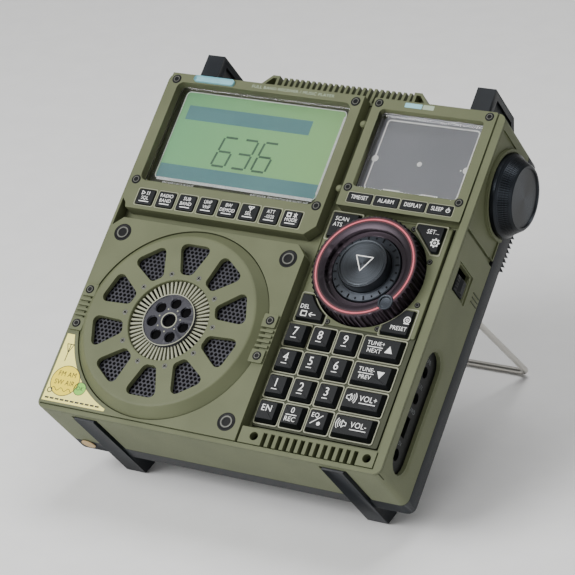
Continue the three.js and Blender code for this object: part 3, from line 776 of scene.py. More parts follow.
def sound_window(index):
    """A wedge with rounded corners, narrow towards the hub and rounded at its wide end."""
    window = block("window", (21.7, -9, -8.3), (36.3, 2, 8.3))
    only(window)
    pick_faces(window, lambda centre, normal: normal.x < -0.9)
    edit(window)
    bpy.ops.transform.resize(value=(1, 1, 0.35), center_override=(21.7, 0, 0))
    leave_edit()
    pick_edges(window, lambda a, b: abs(a.y - b.y) > 10 and a.x > 30)
    edit(window, "EDGE")
    bpy.ops.mesh.bevel(offset=4.2, segments=8, affect="EDGES")
    leave_edit()
    pick_edges(window, lambda a, b: abs(a.y - b.y) > 10 and a.x < 22)
    edit(window, "EDGE")
    bpy.ops.mesh.bevel(offset=1.7, segments=6, affect="EDGES")
    leave_edit()
    moved(window, spin=-(math.pi / 2 + index * math.pi / 5))
    return moved(window, (SPEAKER[0], 0, SPEAKER[1]))


for index in range(10):
    cut(disc, sound_window(index))
soften(disc, 0.5, 3, 60)
put(disc, "case", olive_abs)
print("speaker disc:", len(disc.data.polygons), "faces")

# %% Perforated steel behind the windows
# The holes are discs painted black as the shade inside them, a hair above the sheet: at 2 mm pitch nobody sees the
# depth.
HOLE_PITCH = 2.05
HOLE_RADIUS = 0.76
MESH_Y = DISC_Y + 3.0
sheet_of_steel = turned("speaker_sheet", [(0, MESH_Y), (37.3, MESH_Y), (37.3, MESH_Y + 0.6), (0, MESH_Y + 0.6)],
                        SPEAKER, 64)
put(sheet_of_steel, "case", perforated_steel, "speaker_mesh")
only()
bpy.ops.mesh.primitive_circle_add(vertices=10, radius=HOLE_RADIUS, fill_type="NGON", rotation=(math.pi / 2, 0, 0))
one_hole = bpy.context.object
bpy.ops.object.transform_apply(rotation=True)
edit(one_hole)
bpy.ops.mesh.select_all(action="SELECT")
bpy.ops.mesh.inset(thickness=0.1, depth=0.02)
leave_edit()
holes = []
rows = int(37 / (HOLE_PITCH * 0.866))
for row in range(-rows, rows + 1):
    for column in range(-19, 20):
        x = (column + 0.5 * (row % 2)) * HOLE_PITCH
        z = row * HOLE_PITCH * 0.866
        if 20.5 < math.hypot(x, z) < 36.6:
            hole = copy_of(one_hole, "hole")
            hole.matrix_world = Matrix.Translation((SPEAKER[0] + x, MESH_Y - 0.03, SPEAKER[1] + z))
            holes.append(hole)
bpy.data.objects.remove(one_hole)
perforation = joined("speaker_perforation", holes)
only(perforation)
bpy.ops.object.transform_apply(location=True, rotation=True, scale=True)
put(perforation, "case", hollow_painted_shade)
print("holes:", len(holes))

# %% Fins, hub and the ten small screws
FINS = 56
# The floor under the fins is painted black as the shade between them.
fin_floor = turned("fin_floor", [(12.3, DISC_Y + 2.7), (19.3, DISC_Y + 2.7), (19.3, DISC_Y + 3.1),
                                 (12.3, DISC_Y + 3.1)], SPEAKER, 64, closed=True)
put(fin_floor, "case", hollow_painted_shade)
fin = block("fin", (12.3, DISC_Y + 1.5, -0.36), (19.0, DISC_Y + 2.8, 0.36))
pick_faces(fin, lambda centre, normal: normal.x > 0.9)
edit(fin)
bpy.ops.transform.resize(value=(1, 1, 1.45), center_override=(19, 0, 0))
leave_edit()
fins = []
for index in range(FINS):
    blade = copy_of(fin, "blade")
    blade.matrix_world = (Matrix.Translation((SPEAKER[0], 0, SPEAKER[1]))
                          @ Matrix.Rotation(2 * math.pi * index / FINS, 4, "Y"))
    fins.append(blade)
bpy.data.objects.remove(fin)
fin_ring = joined("speaker_fins", fins)
only(fin_ring)
bpy.ops.object.transform_apply(location=True, rotation=True, scale=True)
# The fins are painted pale olive as their highlight.
put(soften(fin_ring, 0.08, 1), "case", olive_painted_highlight_abs)
hub = turned("speaker_hub", [(0, DISC_Y + 0.6), (11.6, DISC_Y + 0.6), (11.9, DISC_Y - 0.02), (12.35, DISC_Y - 0.02),
                             (12.5, DISC_Y + 0.5), (12.5, DISC_Y + 2.9), (0, DISC_Y + 2.9)], SPEAKER, 96)
hub_holes = [turned("hub_hole", [(0, -9), (2.6, -9), (2.6, DISC_Y + 2), (0, DISC_Y + 2)],
                    (SPEAKER[0] + 8.15 * math.cos(math.radians(88 + i * 360 / 7)),
                     SPEAKER[1] + 8.15 * math.sin(math.radians(88 + i * 360 / 7))), 32) for i in range(7)]
hub_holes.append(turned("hub_hole", [(0, -9), (3.1, -9), (3.1, DISC_Y + 2.2), (0, DISC_Y + 2.2)], SPEAKER, 40))
for tool in hub_holes:
    cut(hub, tool)
put(soften(hub, 0.12, 2), "case", perforated_steel)
# The hub's rims and pins are painted pale as highlights.
rims = [ring(*SPEAKER, 12.35, 0.4, DISC_Y - 0.04, 96), ring(*SPEAKER, 3.75, 0.45, DISC_Y + 0.57, 48)]
for i in range(7):
    angle = math.radians(88 + (i + 0.5) * 360 / 7)
    rims.append(turned("pin", [(0, DISC_Y + 0.5), (0.35, DISC_Y + 0.5), (0.35, DISC_Y + 0.65)],
                       (SPEAKER[0] + 5.4 * math.cos(angle), SPEAKER[1] + 5.4 * math.sin(angle)), 12))
put(joined("hub_rims", rims), "case", olive_painted_highlight_abs)
# The floors of the hub holes are painted black as shade.
bottoms = [turned("hole_floor", [(0, DISC_Y + 1.96), (2.55, DISC_Y + 1.96)],
                  (SPEAKER[0] + 8.15 * math.cos(math.radians(88 + i * 360 / 7)),
                   SPEAKER[1] + 8.15 * math.sin(math.radians(88 + i * 360 / 7))), 24) for i in range(7)]
bottoms.append(turned("hole_floor", [(0, DISC_Y + 2.1), (3.05, DISC_Y + 2.1)], SPEAKER, 24))
put(joined("hub_hole_floors", bottoms), "case", hollow_painted_shade)
small_screws = []
for index in range(10):
    angle = math.radians(108 - 36 * index)
    small_screws += cross_screw(1.25, SPEAKER[0] + 22.1 * math.cos(angle), SPEAKER[1] + 22.1 * math.sin(angle),
                                DISC_Y)
put(joined("disc_screws", small_screws), "case")
print("speaker done")

# %% [markdown]
# ## Key bed
# The keys stand in wells. The bed is one olive moulding, painted darker as the shade between
# the keys, and a thin rim, painted pale as a highlight, runs round each well. Only its right
# and lower sides show past the keys, as bright lines.

# %% Key bed and rims
KEY_COLUMNS = (22.8, 34.8, 46.9)
WIDE_COLUMN, WIDE_HALF = 63.4, 9.3
KEY_ROWS = (55.4, 43.3, 31.2, 19.2)
KEY_HALF_X, KEY_HALF_Z = 5.0, 4.9
bed = refined("key_mat", 0)
put(soften(bed, 0.25), "case", olive_abs_painted_shade, "key_mat")


def well_rim(x, z, half_x, half_z, corner=1.2, y=6.1):
    """A thin raised frame round a key well."""
    outer = block("rim", (x - half_x - 0.85, y, z - half_z - 0.85), (x + half_x + 0.85, y + 0.6, z + half_z + 0.85),
                  corner)
    inner = block("rim_hole", (x - half_x - 0.35, y - 1, z - half_z - 0.35),
                  (x + half_x + 0.35, y + 2, z + half_z + 0.35), corner * 0.6)
    return cut(outer, inner)


rims = []
for z in KEY_ROWS:
    for x in KEY_COLUMNS:
        rims.append(well_rim(x, z, KEY_HALF_X, KEY_HALF_Z))
    rims.append(well_rim(WIDE_COLUMN, z, WIDE_HALF, KEY_HALF_Z))
put(soften(joined("keypad_rims", rims), 0.12, 2), "case", olive_painted_highlight_abs)
print("rims:", len(rims))

# %% [markdown]
# ## Keypad keys
# A key has a wide foot and a narrower top, joined by a soft slope. The front face is
# inset and pulled forward, and a bevel rounds what is left. Its legend is ink.

# %% Key caps
def key_cap(name, x, z, half_x, half_z, front, back=11.0, foot=2.0, slope=1.0, corner=0.9):
    """A key whose foot stands at front + foot and whose top is smaller by slope."""
    cap = block(name, (x - half_x, front + foot, z - half_z), (x + half_x, back, z + half_z), corner, segments=3)
    only(cap)
    pick_faces(cap, lambda centre, normal: normal.y < -0.9)
    edit(cap)
    bpy.ops.mesh.inset(thickness=slope, depth=0)
    bpy.ops.transform.translate(value=(0, -foot, 0))
    leave_edit()
    soften(cap, 0.45, 3, 25)
    return painted(cap, key_abs)


def keyed(cap, marks, body, name):
    """Joins a key with its inked marks and puts both on the key's own body."""
    for mark in marks:
        painted(mark, white_ink)
    return put(joined(name, [cap] + marks), body, None, body)


TOP_Y = 3.6
INK_Y = TOP_Y - 0.02


def number_marks(figure, x, z):
    return [lettering(figure, x - 0.2, z + 0.7, INK_Y, 4.0, 0.92),
            stroke(x - 1.6, z - 2.1, x + 1.0, z - 2.1, INK_Y, 0.34)]


figures = (("7", "8", "9"), ("4", "5", "6"), ("1", "2", "3"))
for row, trio in enumerate(figures):
    for column, figure in enumerate(trio):
        x, z = KEY_COLUMNS[column], KEY_ROWS[row]
        cap = key_cap("cap", x, z, KEY_HALF_X, KEY_HALF_Z, TOP_Y)
        keyed(cap, number_marks(figure, x, z), "key_" + figure, "number_key_" + figure)
print("nine number keys")

# %% Keys with words and symbols
def solid_triangle(x, z, wide, high, y):
    """A filled printed triangle; a negative height points down."""
    only()
    bpy.ops.mesh.primitive_cone_add(vertices=3, radius1=1, radius2=1, depth=0.04, location=(0, 0, 0))
    mark = bpy.context.object
    moved(mark, spin=math.pi / 2, axis="X")
    mark.scale = (wide / 1.732, 1, high / 1.5)
    only(mark)
    bpy.ops.object.transform_apply(scale=True)
    low, high_z = min(v.co.z for v in mark.data.vertices), max(v.co.z for v in mark.data.vertices)
    return moved(mark, (x, y, z - (low + high_z) / 2))


def arc_marks(x, z, radii, spread, y, facing=1, wide=0.3):
    """Sound waves: short arcs of growing size, each drawn with six strokes."""
    marks = []
    for radius in radii:
        points = []
        for step in range(7):
            angle = math.radians(-spread + 2 * spread * step / 6)
            points.append((x + facing * radius * math.cos(angle), z + radius * math.sin(angle)))
        marks += [stroke(*a, *b, y, wide) for a, b in zip(points, points[1:])]
    return marks


def speaker_marks(x, z, facing=1):
    f = facing
    outline = [(x, z + 0.7), (x + f * 0.8, z + 0.7), (x + f * 1.9, z + 1.7), (x + f * 1.9, z - 1.7),
               (x + f * 0.8, z - 0.7), (x, z - 0.7), (x, z + 0.7)]
    marks = [stroke(*a, *b, INK_Y, 0.32) for a, b in zip(outline, outline[1:])]
    return marks + arc_marks(x + f * 1.2, z, (1.6, 2.5, 3.4), 42, INK_Y, f)


def wide_cap():
    return key_cap("cap", WIDE_COLUMN, KEY_ROWS[row], WIDE_HALF, KEY_HALF_Z, TOP_Y)


z = KEY_ROWS[0]
row = 0
marks = [lettering("TUNE+", 61.0, z + 1.5, INK_Y, 1.9, 0.95), bar(57.4, 64.6, z - 0.3, z + 0.05, INK_Y),
         lettering("NEXT", 61.0, z - 1.9, INK_Y, 1.9, 0.95), solid_triangle(67.6, z - 0.3, 3.6, 3.2, INK_Y)]
keyed(wide_cap(), marks, "key_tune_up", "tune_up_key")
z = KEY_ROWS[1]
row = 1
marks = [lettering("TUNE-", 61.0, z + 1.5, INK_Y, 1.9, 0.95), bar(57.4, 64.6, z - 0.3, z + 0.05, INK_Y),
         lettering("PREV", 61.0, z - 1.9, INK_Y, 1.9, 0.95), solid_triangle(67.6, z, 3.6, -3.2, INK_Y)]
keyed(wide_cap(), marks, "key_tune_down", "tune_down_key")
z = KEY_ROWS[2]
row = 2
marks = speaker_marks(56.4, z + 0.4) + [lettering("VOL+", 66.4, z + 0.6, INK_Y, 2.6, 0.9),
                                        bar(62.6, 70.2, z - 1.6, z - 1.25, INK_Y)]
keyed(wide_cap(), marks, "key_volume_up", "volume_up_key")
z = KEY_ROWS[3]
row = 3
marks = speaker_marks(60.4, z + 0.4, -1) + [lettering("VOL-", 66.2, z + 0.6, INK_Y, 2.6, 0.9),
                                            bar(62.6, 70.2, z - 1.6, z - 1.25, INK_Y)]
keyed(wide_cap(), marks, "key_volume_down", "volume_down_key")
x = KEY_COLUMNS[0]
keyed(key_cap("cap", x, z, KEY_HALF_X, KEY_HALF_Z, TOP_Y),
      [lettering("EN", x - 0.2, z + 0.9, INK_Y, 3.0, 0.95)], "key_enter", "enter_key")
x = KEY_COLUMNS[1]
keyed(key_cap("cap", x, z, KEY_HALF_X, KEY_HALF_Z, TOP_Y),
      [lettering("0", x, z + 2.0, INK_Y, 2.6), bar(x - 2.7, x + 2.4, z - 0.2, z + 0.15, INK_Y),
       lettering("REC", x - 0.2, z - 2.0, INK_Y, 2.2, 0.95)], "key_0", "zero_key")
x = KEY_COLUMNS[2]
keyed(key_cap("cap", x, z, KEY_HALF_X, KEY_HALF_Z, TOP_Y),
      [lettering("EQ", x - 1.3, z + 1.9, INK_Y, 2.1, 0.95), stroke(x - 2.6, z - 2.0, x + 2.3, z + 2.2, INK_Y, 0.36),
       turned("dot", [(0, INK_Y), (0.85, INK_Y)], (x + 1.2, z - 1.6), 20)], "key_equaliser", "equaliser_key")
print("keypad done:", len(placed), "pieces placed")

# %% [markdown]
# ## Small keys under the windows
# These keys are flat blocks that stand just proud of the bezel. The legend is in two
# lines with a bar between them, as on a calculator.

# %% Display keys and clock keys
SMALL_Y = -0.6


def small_cap(x, z0, z1, half_x, front, name):
    cap = block(name, (x - half_x, front, z0), (x + half_x, 8.0, z1), 0.55, segments=3)
    return painted(soften(cap, 0.3, 3), key_abs)


def two_lines(x, z, y, upper, lower, height=1.75, width=0.86):
    """Two short words with a bar under them."""
    marks = [bar(x - 2.5, x + 2.5, z - 2.55, z - 2.15, y)]
    for text, level in ((upper, z + 1.75), (lower, z - 0.65)):
        if text:
            marks.append(lettering(text, x, level, y, height, width * (0.8 if len(text) > 5 else 1)))
    return marks


display_keys = (("key_play", "", "SQL"), ("key_band", "RADIO", "BAND"), ("key_sub_band", "SUB", "BAND"),
                ("key_uhf_vhf", "UHF", "VHF"), ("key_bandwidth", "BW", "DEMOD"), ("key_antenna", "", "SEL"),
                ("key_attenuator", "ATT", "-10/20"), ("key_mode", "", "MODE"))
key_lines = []
for index, (body, upper, lower) in enumerate(display_keys):
    x, z = -71.1 + 10.65 * index, 105.2
    y = SMALL_Y - 0.02
    marks = two_lines(x, z, y, upper, lower)
    if body == "key_play":
        marks += [stroke(x - 2.2, z + 0.9, x - 2.2, z + 2.7, y, 0.3), stroke(x - 2.2, z + 2.7, x - 0.6, z + 1.8, y, 0.3),
                  stroke(x - 2.2, z + 0.9, x - 0.6, z + 1.8, y, 0.3), stroke(x + 0.5, z + 0.9, x + 0.5, z + 2.7, y, 0.3),
                  stroke(x + 1.5, z + 0.9, x + 1.5, z + 2.7, y, 0.3)]
    if body == "key_antenna":
        marks += [stroke(x + 0.6, z + 0.5, x + 0.6, z + 2.8, y, 0.3), stroke(x + 0.6, z + 1.3, x - 0.9, z + 2.8, y, 0.3),
                  stroke(x + 0.6, z + 1.3, x + 2.1, z + 2.8, y, 0.3), stroke(x - 0.9, z + 2.8, x + 2.1, z + 2.8, y, 0.3)]
    if body == "key_mode":
        marks += [frame_line(x - 2.7, x - 0.5, z + 0.7, z + 2.8, 0.5, y, 0.1),
                  stroke(x + 1.5, z + 0.4, x + 1.5, z + 3.0, y, 0.32), stroke(x + 0.6, z + 1.0, x + 2.4, z + 2.4, y, 0.32),
                  stroke(x + 0.6, z + 2.4, x + 2.4, z + 1.0, y, 0.32)]
    keyed(small_cap(x, 101.5, 108.9, 4.3, SMALL_Y, "cap"), marks, body, body.replace("key_", "display_key_"))
    key_lines.append(frame_line(x - 4.95, x + 4.95, 100.85, 109.55, 0.28, 0.0, 0.8))
clock_keys = (("key_time", "TIME/SET", 0.72), ("key_alarm", "ALARM", 0.86), ("key_display", "DISPLAY", 0.78),
              ("key_sleep", "SLEEP", 0.8))
for index, (body, text, narrow) in enumerate(clock_keys):
    x, z, y = 31.4 + 12.77 * index, 119.7, -0.52
    shift = -1.3 if body == "key_sleep" else 0
    marks = [lettering(text, x + shift, z, y, 1.95, narrow)]
    if body == "key_sleep":
        marks += [ring(x + 3.9, z - 0.1, 1.0, 0.28, y, 20), stroke(x + 3.9, z - 0.1, x + 3.9, z + 1.4, y, 0.28)]
    keyed(small_cap(x, 117.4, 122.0, 5.85, -0.5, "cap"), marks, body, body.replace("key_", "clock_key_"))
    key_lines.append(frame_line(x - 6.25, x + 6.25, 117.0, 122.4, 0.25, 0.0, 0.8))
# The lines round the small keys are painted pale as highlights on the edges of their wells.
put(joined("key_edge_lines", key_lines), "case", olive_painted_highlight_abs)
print("small keys done:", len(placed))

# %% [markdown]
# ## Corner keys round the dial
# Four keys fill the corners between the round dial and its square field. Each is a
# block with the dial's circle cut out; the setup key is cut straight instead. A rim of the
# same outline, painted pale as a highlight, frames it.

# %% Corner keys and rims
def corner_block(name, sign_x, sign_z, grow, y0, y1, straight=False):
    """The corner shape, larger by grow on every side."""
    xs = sorted((DIAL.x + sign_x * (13.5 - grow), DIAL.x + sign_x * (27 + grow)))
    zs = sorted((DIAL.z + sign_z * (13.5 - grow), DIAL.z + sign_z * (26 + grow)))
    piece = block(name, (xs[0], y0, zs[0]), (xs[1], y1, zs[1]), 0.8, segments=3)
    if straight:
        tool = block("tool", (-40, y0 - 1, -26.4 + grow), (40, y1 + 1, 26.4 - grow))
        moved(tool, spin=math.radians(45))
        moved(tool, (DIAL.x, 0, DIAL.z))
    else:
        tool = turned("tool", [(0, y0 - 1), (25.9 - grow, y0 - 1), (25.9 - grow, y1 + 1), (0, y1 + 1)],
                      (DIAL.x, DIAL.z), 128)
    return cut(piece, tool)


corners = (("key_scan", -1, 1, False), ("key_setup", 1, 1, True), ("key_delete", -1, -1, False),
           ("key_preset", 1, -1, False))
corner_rims = []
corner_caps = {}
for body, sign_x, sign_z, straight in corners:
    rim = corner_block("rim", sign_x, sign_z, 0.85, 6.0, 6.8, straight)
    cut(rim, corner_block("hole", sign_x, sign_z, 0.35, 5.0, 8.0, straight))
    corner_rims.append(rim)
    cap = corner_block("cap", sign_x, sign_z, 0, 5.6, 11, straight)
    only(cap)
    pick_faces(cap, lambda centre, normal: normal.y < -0.9)
    edit(cap)
    bpy.ops.mesh.inset(thickness=0.5, depth=0)
    bpy.ops.transform.translate(value=(0, -1.0, 0))
    leave_edit()
    corner_caps[body] = painted(soften(cap, 0.25, 2, 25), key_abs)
put(soften(joined("corner_rims", corner_rims), 0.1, 1), "case", olive_painted_highlight_abs)
print("corner keys cut:", list(corner_caps))

# %% Their legends
y = 4.58
GEAR = (70.2, 106.4)
keyed(corner_caps["key_scan"], [lettering("SCAN", 24.3, 111.0, y, 2.0, 0.88), lettering("ATS", 23.0, 108.2, y, 2.0, 0.88)],
      "key_scan", "scan_key")
gear = [ring(*GEAR, 1.7, 0.45, y, 24), ring(*GEAR, 0.6, 0.3, y, 12)]
for step in range(8):
    angle = step * math.pi / 4
    gear.append(stroke(GEAR[0] + 1.6 * math.cos(angle), GEAR[1] + 1.6 * math.sin(angle),
                       GEAR[0] + 2.15 * math.cos(angle), GEAR[1] + 2.15 * math.sin(angle), y, 0.6))
keyed(corner_caps["key_setup"], [lettering("SET...", 67.9, 111.2, y, 2.1, 0.88)] + gear, "key_setup", "setup_key")
box_arrow = [frame_line(21.2, 24.2, 63.9, 66.5, 0.45, y, 0.3), stroke(25.2, 65.2, 28.4, 65.2, y, 0.35),
             stroke(25.2, 65.2, 26.4, 66.2, y, 0.35), stroke(25.2, 65.2, 26.4, 64.2, y, 0.35)]
keyed(corner_caps["key_delete"], [lettering("DEL", 22.2, 68.4, y, 2.0, 0.88)] + box_arrow, "key_delete", "delete_key")
preset_icon = [ring(70.3, 69.9, 1.6, 0.4, y, 24), ring(70.3, 69.9, 0.7, 0.35, y, 12),
               stroke(69.1, 68.2, 71.7, 68.2, y, 0.35)]
keyed(corner_caps["key_preset"], [lettering("PRESET", 67.6, 65.6, y, 2.0, 0.84)] + preset_icon, "key_preset", "preset_key")
field_screws = []
for x, z in ((57.8, 112), (70.2, 98.1), (34, 63.9), (57.6, 64.4), (71.6, 77.9)):
    field_screws += socket_screw(1.2, x, z, 6.2)
put(joined("field_screws", field_screws), "case")
field = block("dial_field", (17.4, 6.2, 62.3), (75.7, 6.7, 114.3), 0.8)
cut(field, turned("hole", [(0, 5), (25, 5), (25, 8), (0, 8)], (DIAL.x, DIAL.z), 128))
put(field, "case", olive_abs)
print("corner keys done:", len(placed))

# %% [markdown]
# ## Tuning dial
# The outer ring turns, the knob inside it turns too, and the cap in the middle is a
# button. The ring's rim has sixty small scallops for the finger, cut by one round tool
# that is copied round the axis. A red line is inlaid in its face and stops at a dimple.

# %% Outer ring
SCALLOPS = 60
DIMPLE = (DIAL.x + 15.2, DIAL.z - 14.5)
ring_piece = turned("tuning_ring_turned", [(18.3, -0.7), (20.6, -1.5), (23.4, -1.5), (24.3, -0.7), (24.3, 13), (15.9, 13),
                                           (15.9, 1.5), (17.9, 1.5)], (0, 0), 180, closed=True)
tools = []
scallop = turned("scallop", [(0, -5), (1.1, -5), (1.1, 12), (0, 12)], (24.4, 0), 12)
for index in range(SCALLOPS):
    twin = copy_of(scallop)
    twin.matrix_world = Matrix.Rotation(2 * math.pi * index / SCALLOPS, 4, "Y")
    tools.append(twin)
bpy.data.objects.remove(scallop)
cutter = joined("cutter", tools)
only(cutter)
bpy.ops.object.transform_apply(location=True, rotation=True, scale=True)
cut(ring_piece, cutter)
moved(ring_piece, (DIAL.x, 0, DIAL.z))
cut(ring_piece, turned("pit", [(0, -3), (2.9, -3), (2.9, -0.6), (0, -0.6)], DIMPLE, 32))
soften(ring_piece, 0.15, 2, 35)
put(ring_piece, "tuning_ring", ring_metal, "tuning_ring")


def inlay(name, inner, outer, y, material):
    line = turned(name, [(inner, y), (outer, y), (outer, y + 0.06), (inner, y + 0.06)], (DIAL.x, DIAL.z), 180, closed=True)
    cut(line, turned("gap", [(0, -3), (3.7, -3), (3.7, 3), (0, 3)], DIMPLE, 32), solver="EXACT")
    return painted(line, material)


# The dark red band either side of the red line is the groove's shade, painted.
inlays = [inlay("red_edge", 20.95, 23.0, -1.53, red_groove_painted_shade), inlay("red_line", 21.65, 22.3, -1.56, red_enamel)]
put(joined("red_inlay", inlays), "tuning_ring")
spinner = turned("finger_dimple", [(0, -1.1), (2.0, -1.25), (2.4, -1.2), (2.45, -0.9), (2.5, -1.75), (3.25, -1.8),
                                   (3.5, -1.5), (3.5, -1.0), (0, -0.7)], DIMPLE, 48)
put(soften(spinner, 0.08, 2), "tuning_ring", dial_metal)
print("ring done")

# %% Knob skirt with ticks, and the button cap
knob = turned("knob_turned", [(11.6, 0.6), (13.2, 0.6), (15.1, 0.75), (15.55, 1.3), (15.55, 15), (11.6, 15)],
              (DIAL.x, DIAL.z), 128, closed=True)
put(soften(knob, 0.12, 2), "dial_knob", dial_metal, "dial_knob")
# The ticks are painted black as the shade in them.
ticks = []
for index in range(24):
    angle = 2 * math.pi * index / 24
    r0, r1 = (13.1, 15.0) if index % 2 else (13.7, 14.6)
    ticks.append(stroke(DIAL.x + r0 * math.cos(angle), DIAL.z + r0 * math.sin(angle),
                        DIAL.x + r1 * math.cos(angle), DIAL.z + r1 * math.sin(angle), 0.57, 0.65))
put(joined("knob_ticks", ticks), "dial_knob", hollow_painted_shade)
button = turned("button_turned", [(0, -3.75), (9.7, -3.75), (9.85, -3.6), (10.05, -3.6), (10.3, -4.1), (10.9, -4.15),
                                  (11.3, -3.5), (11.3, 9.6), (4.6, 9.6), (4.6, 14), (0, 14)], (DIAL.x, DIAL.z), 128)
put(soften(button, 0.1, 2), "dial_button", cap_metal, "dial_button")
tx, tz, ty = DIAL.x, DIAL.z + 0.2, -3.78
points = [(tx - 4, tz + 3.2), (tx + 4, tz + 3.2), (tx, tz - 3.6), (tx - 4, tz + 3.2)]
pointer = [stroke(*a, *b, ty, 0.42) for a, b in zip(points, points[1:])]
pointer += [turned("corner", [(0, ty - 0.02), (0.21, ty - 0.02)], p, 12) for p in points[:3]]
put(joined("button_pointer", pointer), "dial_button", white_ink)
print("dial done:", len(placed))

# %% [markdown]
# ## Side knob, lock switch and sockets
# The side knob is a turned cone with fine straight knurls on its skirt. We model it
# upright about Y, where spin works, and then turn it to face right.

# %% Side knob
KNURLS = 96
side_rows = [(0, 92.4), (12.6, 92.4), (12.9, 93.0), (13.8, 93.0), (14.5, 92.3), (17.2, 87.4), (18.3, 86.4),
             (18.4, 84.4), (0, 84.4)]
side_piece = turned("side_knob_turned", side_rows, sides=96)
notch = block("notch", (14.1, 87.6, -0.13), (19, 92.2, 0.13))
moved(notch, spin=math.radians(29), axis="Z", about=(15.6, 90, 0))
moved(notch, (0.45, 0, 0))
notches = []
for index in range(KNURLS):
    twin = copy_of(notch)
    twin.matrix_world = Matrix.Rotation(2 * math.pi * index / KNURLS, 4, "Y")
    notches.append(twin)
bpy.data.objects.remove(notch)
knurl = joined("knurl", notches)
only(knurl)
bpy.ops.object.transform_apply(location=True, rotation=True, scale=True)
cut(side_piece, knurl)
only(side_piece)
bpy.ops.object.shade_smooth_by_angle(angle=math.radians(30))
moved(side_piece, spin=-math.pi / 2, axis="Z")
moved(side_piece, (0, 25.5, 142.7))
put(side_piece, "side_knob", side_metal, "side_knob")
print("side knob:", len(side_piece.data.polygons), "faces")

# %% Lock switch, side marks and sockets
slider = block("lock_slider", (82.4, 8.7, 88.9), (83.6, 19.0, 96.3), 0.6, "X")
grip = block("grip", (83.5, 11.6, 89.2), (84.4, 17.4, 96.0), 0.5, "X")
only(grip)
pick_faces(grip, lambda centre, normal: normal.x > 0.9)
edit(grip)
bpy.ops.transform.resize(value=(1, 0.35, 0.86), center_override=(84.4, 15.2, 92.6))
leave_edit()
grip_ribs = [block("grip_rib", (83.5, 9.4, z - 0.25), (83.85, 11.4, z + 0.25)) for z in (90.4, 91.8, 93.2, 94.6)]
put(soften(joined("lock_slider", [slider, grip] + grip_ribs), 0.15, 2), "lock_switch", key_abs,
    "lock_switch")
marks = [block("mark", (83.9, 26.4, z - 0.3), (84.25, 33.2, z + 0.3)) for z in (96.2, 94.2, 92.2)]
put(soften(joined("side_marks", marks), 0.1, 1), "case", olive_abs_painted_shade)
sockets = refined("jack_panel", 0.15)
put(sockets, "case", mat_abs, "jack_panel")


def side_ring(y, z, radius, wide, x):
    """A bright ring round a socket on the right side."""
    piece = ring(0, 0, radius, wide, 0, 32, 0.12)
    moved(piece, spin=math.pi / 2, axis="Z")
    return moved(piece, (x, y, z))


PANEL_X = 81.35
rings = [side_ring(14, 52, 3.0, 0.55, PANEL_X), side_ring(14, 40, 3.0, 0.55, PANEL_X),
         side_ring(14, 14.5, 3.1, 0.5, PANEL_X)]
rings.append(block("reader_lip", (PANEL_X - 0.05, 11.6, 21.6), (PANEL_X + 0.05, 12.0, 32.4)))
put(joined("socket_rings", rings), "case", socket_black)


def side_words(text, y, z, height, width=0.9):
    """Small words on the right wall, read from the front to the rear."""
    words = lettering(text, 0, 0, 0, height, width)
    moved(words, spin=math.pi / 2, axis="Z")
    return moved(words, (PANEL_X + 0.06, y, z))


icons = [side_words("EAR", 14, 57, 2.0), side_words("AUX", 14, 45.6, 2.0), side_words("CARD", 14, 34.6, 2.0),
         side_words("5V", 14, 19.4, 2.0)]
put(joined("socket_words", icons), "case", faint_ink)
print("side done:", len(placed))

# %% [markdown]
# ## Vent bar and bail
# The bar below the keys is slotted like a grille. The bail is one length of round
# wire: a curve with rounded corners is swept, and the sweep is made a mesh.

# %% Vent bar
vents = refined("vent_bar", 0)
screw_places = ((23.5, 5.8), (76.5, 5.8))
for x, z in screw_places:
    cut(vents, turned("bore", [(0, -1), (1.9, -1), (1.9, 4.5), (0, 4.5)], (x, z), 32))
put(soften(vents, 0.2, 2), "case", olive_abs, "vent_bar")
# The floors of the bores and of the slot are painted black as shade.
floors = [turned("floor", [(0, 4.4), (1.85, 4.4)], place, 24) for place in screw_places]
floors.append(block("slot_floor", (26.5, 6.3, 2.8), (73.5, 6.5, 8.6)))
put(joined("vent_shadow", floors), "case", hollow_painted_shade)
print("vent bar done")

# %% Wire bail
def wire(name, points, radius, bend, sides=5):
    """Round wire along straight runs that are joined by rounded corners."""
    path = [Vector(points[0])]
    for before, corner, after in zip(points, points[1:], points[2:]):
        before, corner, after = Vector(before), Vector(corner), Vector(after)
        start = corner + (before - corner).normalized() * bend
        end = corner + (after - corner).normalized() * bend
        for step in range(9):
            t = step / 8
            path.append(start * (1 - t) ** 2 + corner * 2 * t * (1 - t) + end * t ** 2)
    path.append(Vector(points[-1]))
    only()
    curve = bpy.data.curves.new(name, "CURVE")
    curve.dimensions = "3D"
    line = curve.splines.new("POLY")
    line.points.add(len(path) - 1)
    for point, place in zip(line.points, path):
        point.co = (*place, 1)
    curve.bevel_depth = radius
    curve.bevel_resolution = sides
    curve.use_fill_caps = True
    piece = bpy.data.objects.new(name, curve)
    bpy.context.scene.collection.objects.link(piece)
    only(piece)
    bpy.ops.object.convert(target="MESH")
    piece = bpy.context.object
    bpy.ops.object.shade_smooth_by_angle(angle=math.radians(40))
    return piece


bail_points = [(-67.5, 46.8, 103.9), (-60.5, 46.8, 103.9), (-60.5, 153.2, 114.8), (60.5, 153.2, 114.8),
               (60.5, 46.8, 103.9), (67.5, 46.8, 103.9)]
put(wire("bail_wire", bail_points, 1.48, 4.5), "bail_stand", steel_wire, "bail_stand")
print("bail done")

# %% [markdown]
# ## Labels
# A yellow paper label follows the disc's edge in the lower left corner. It carries
# plain shapes only, and a small pale blue label sits on the top edge of the bezel.

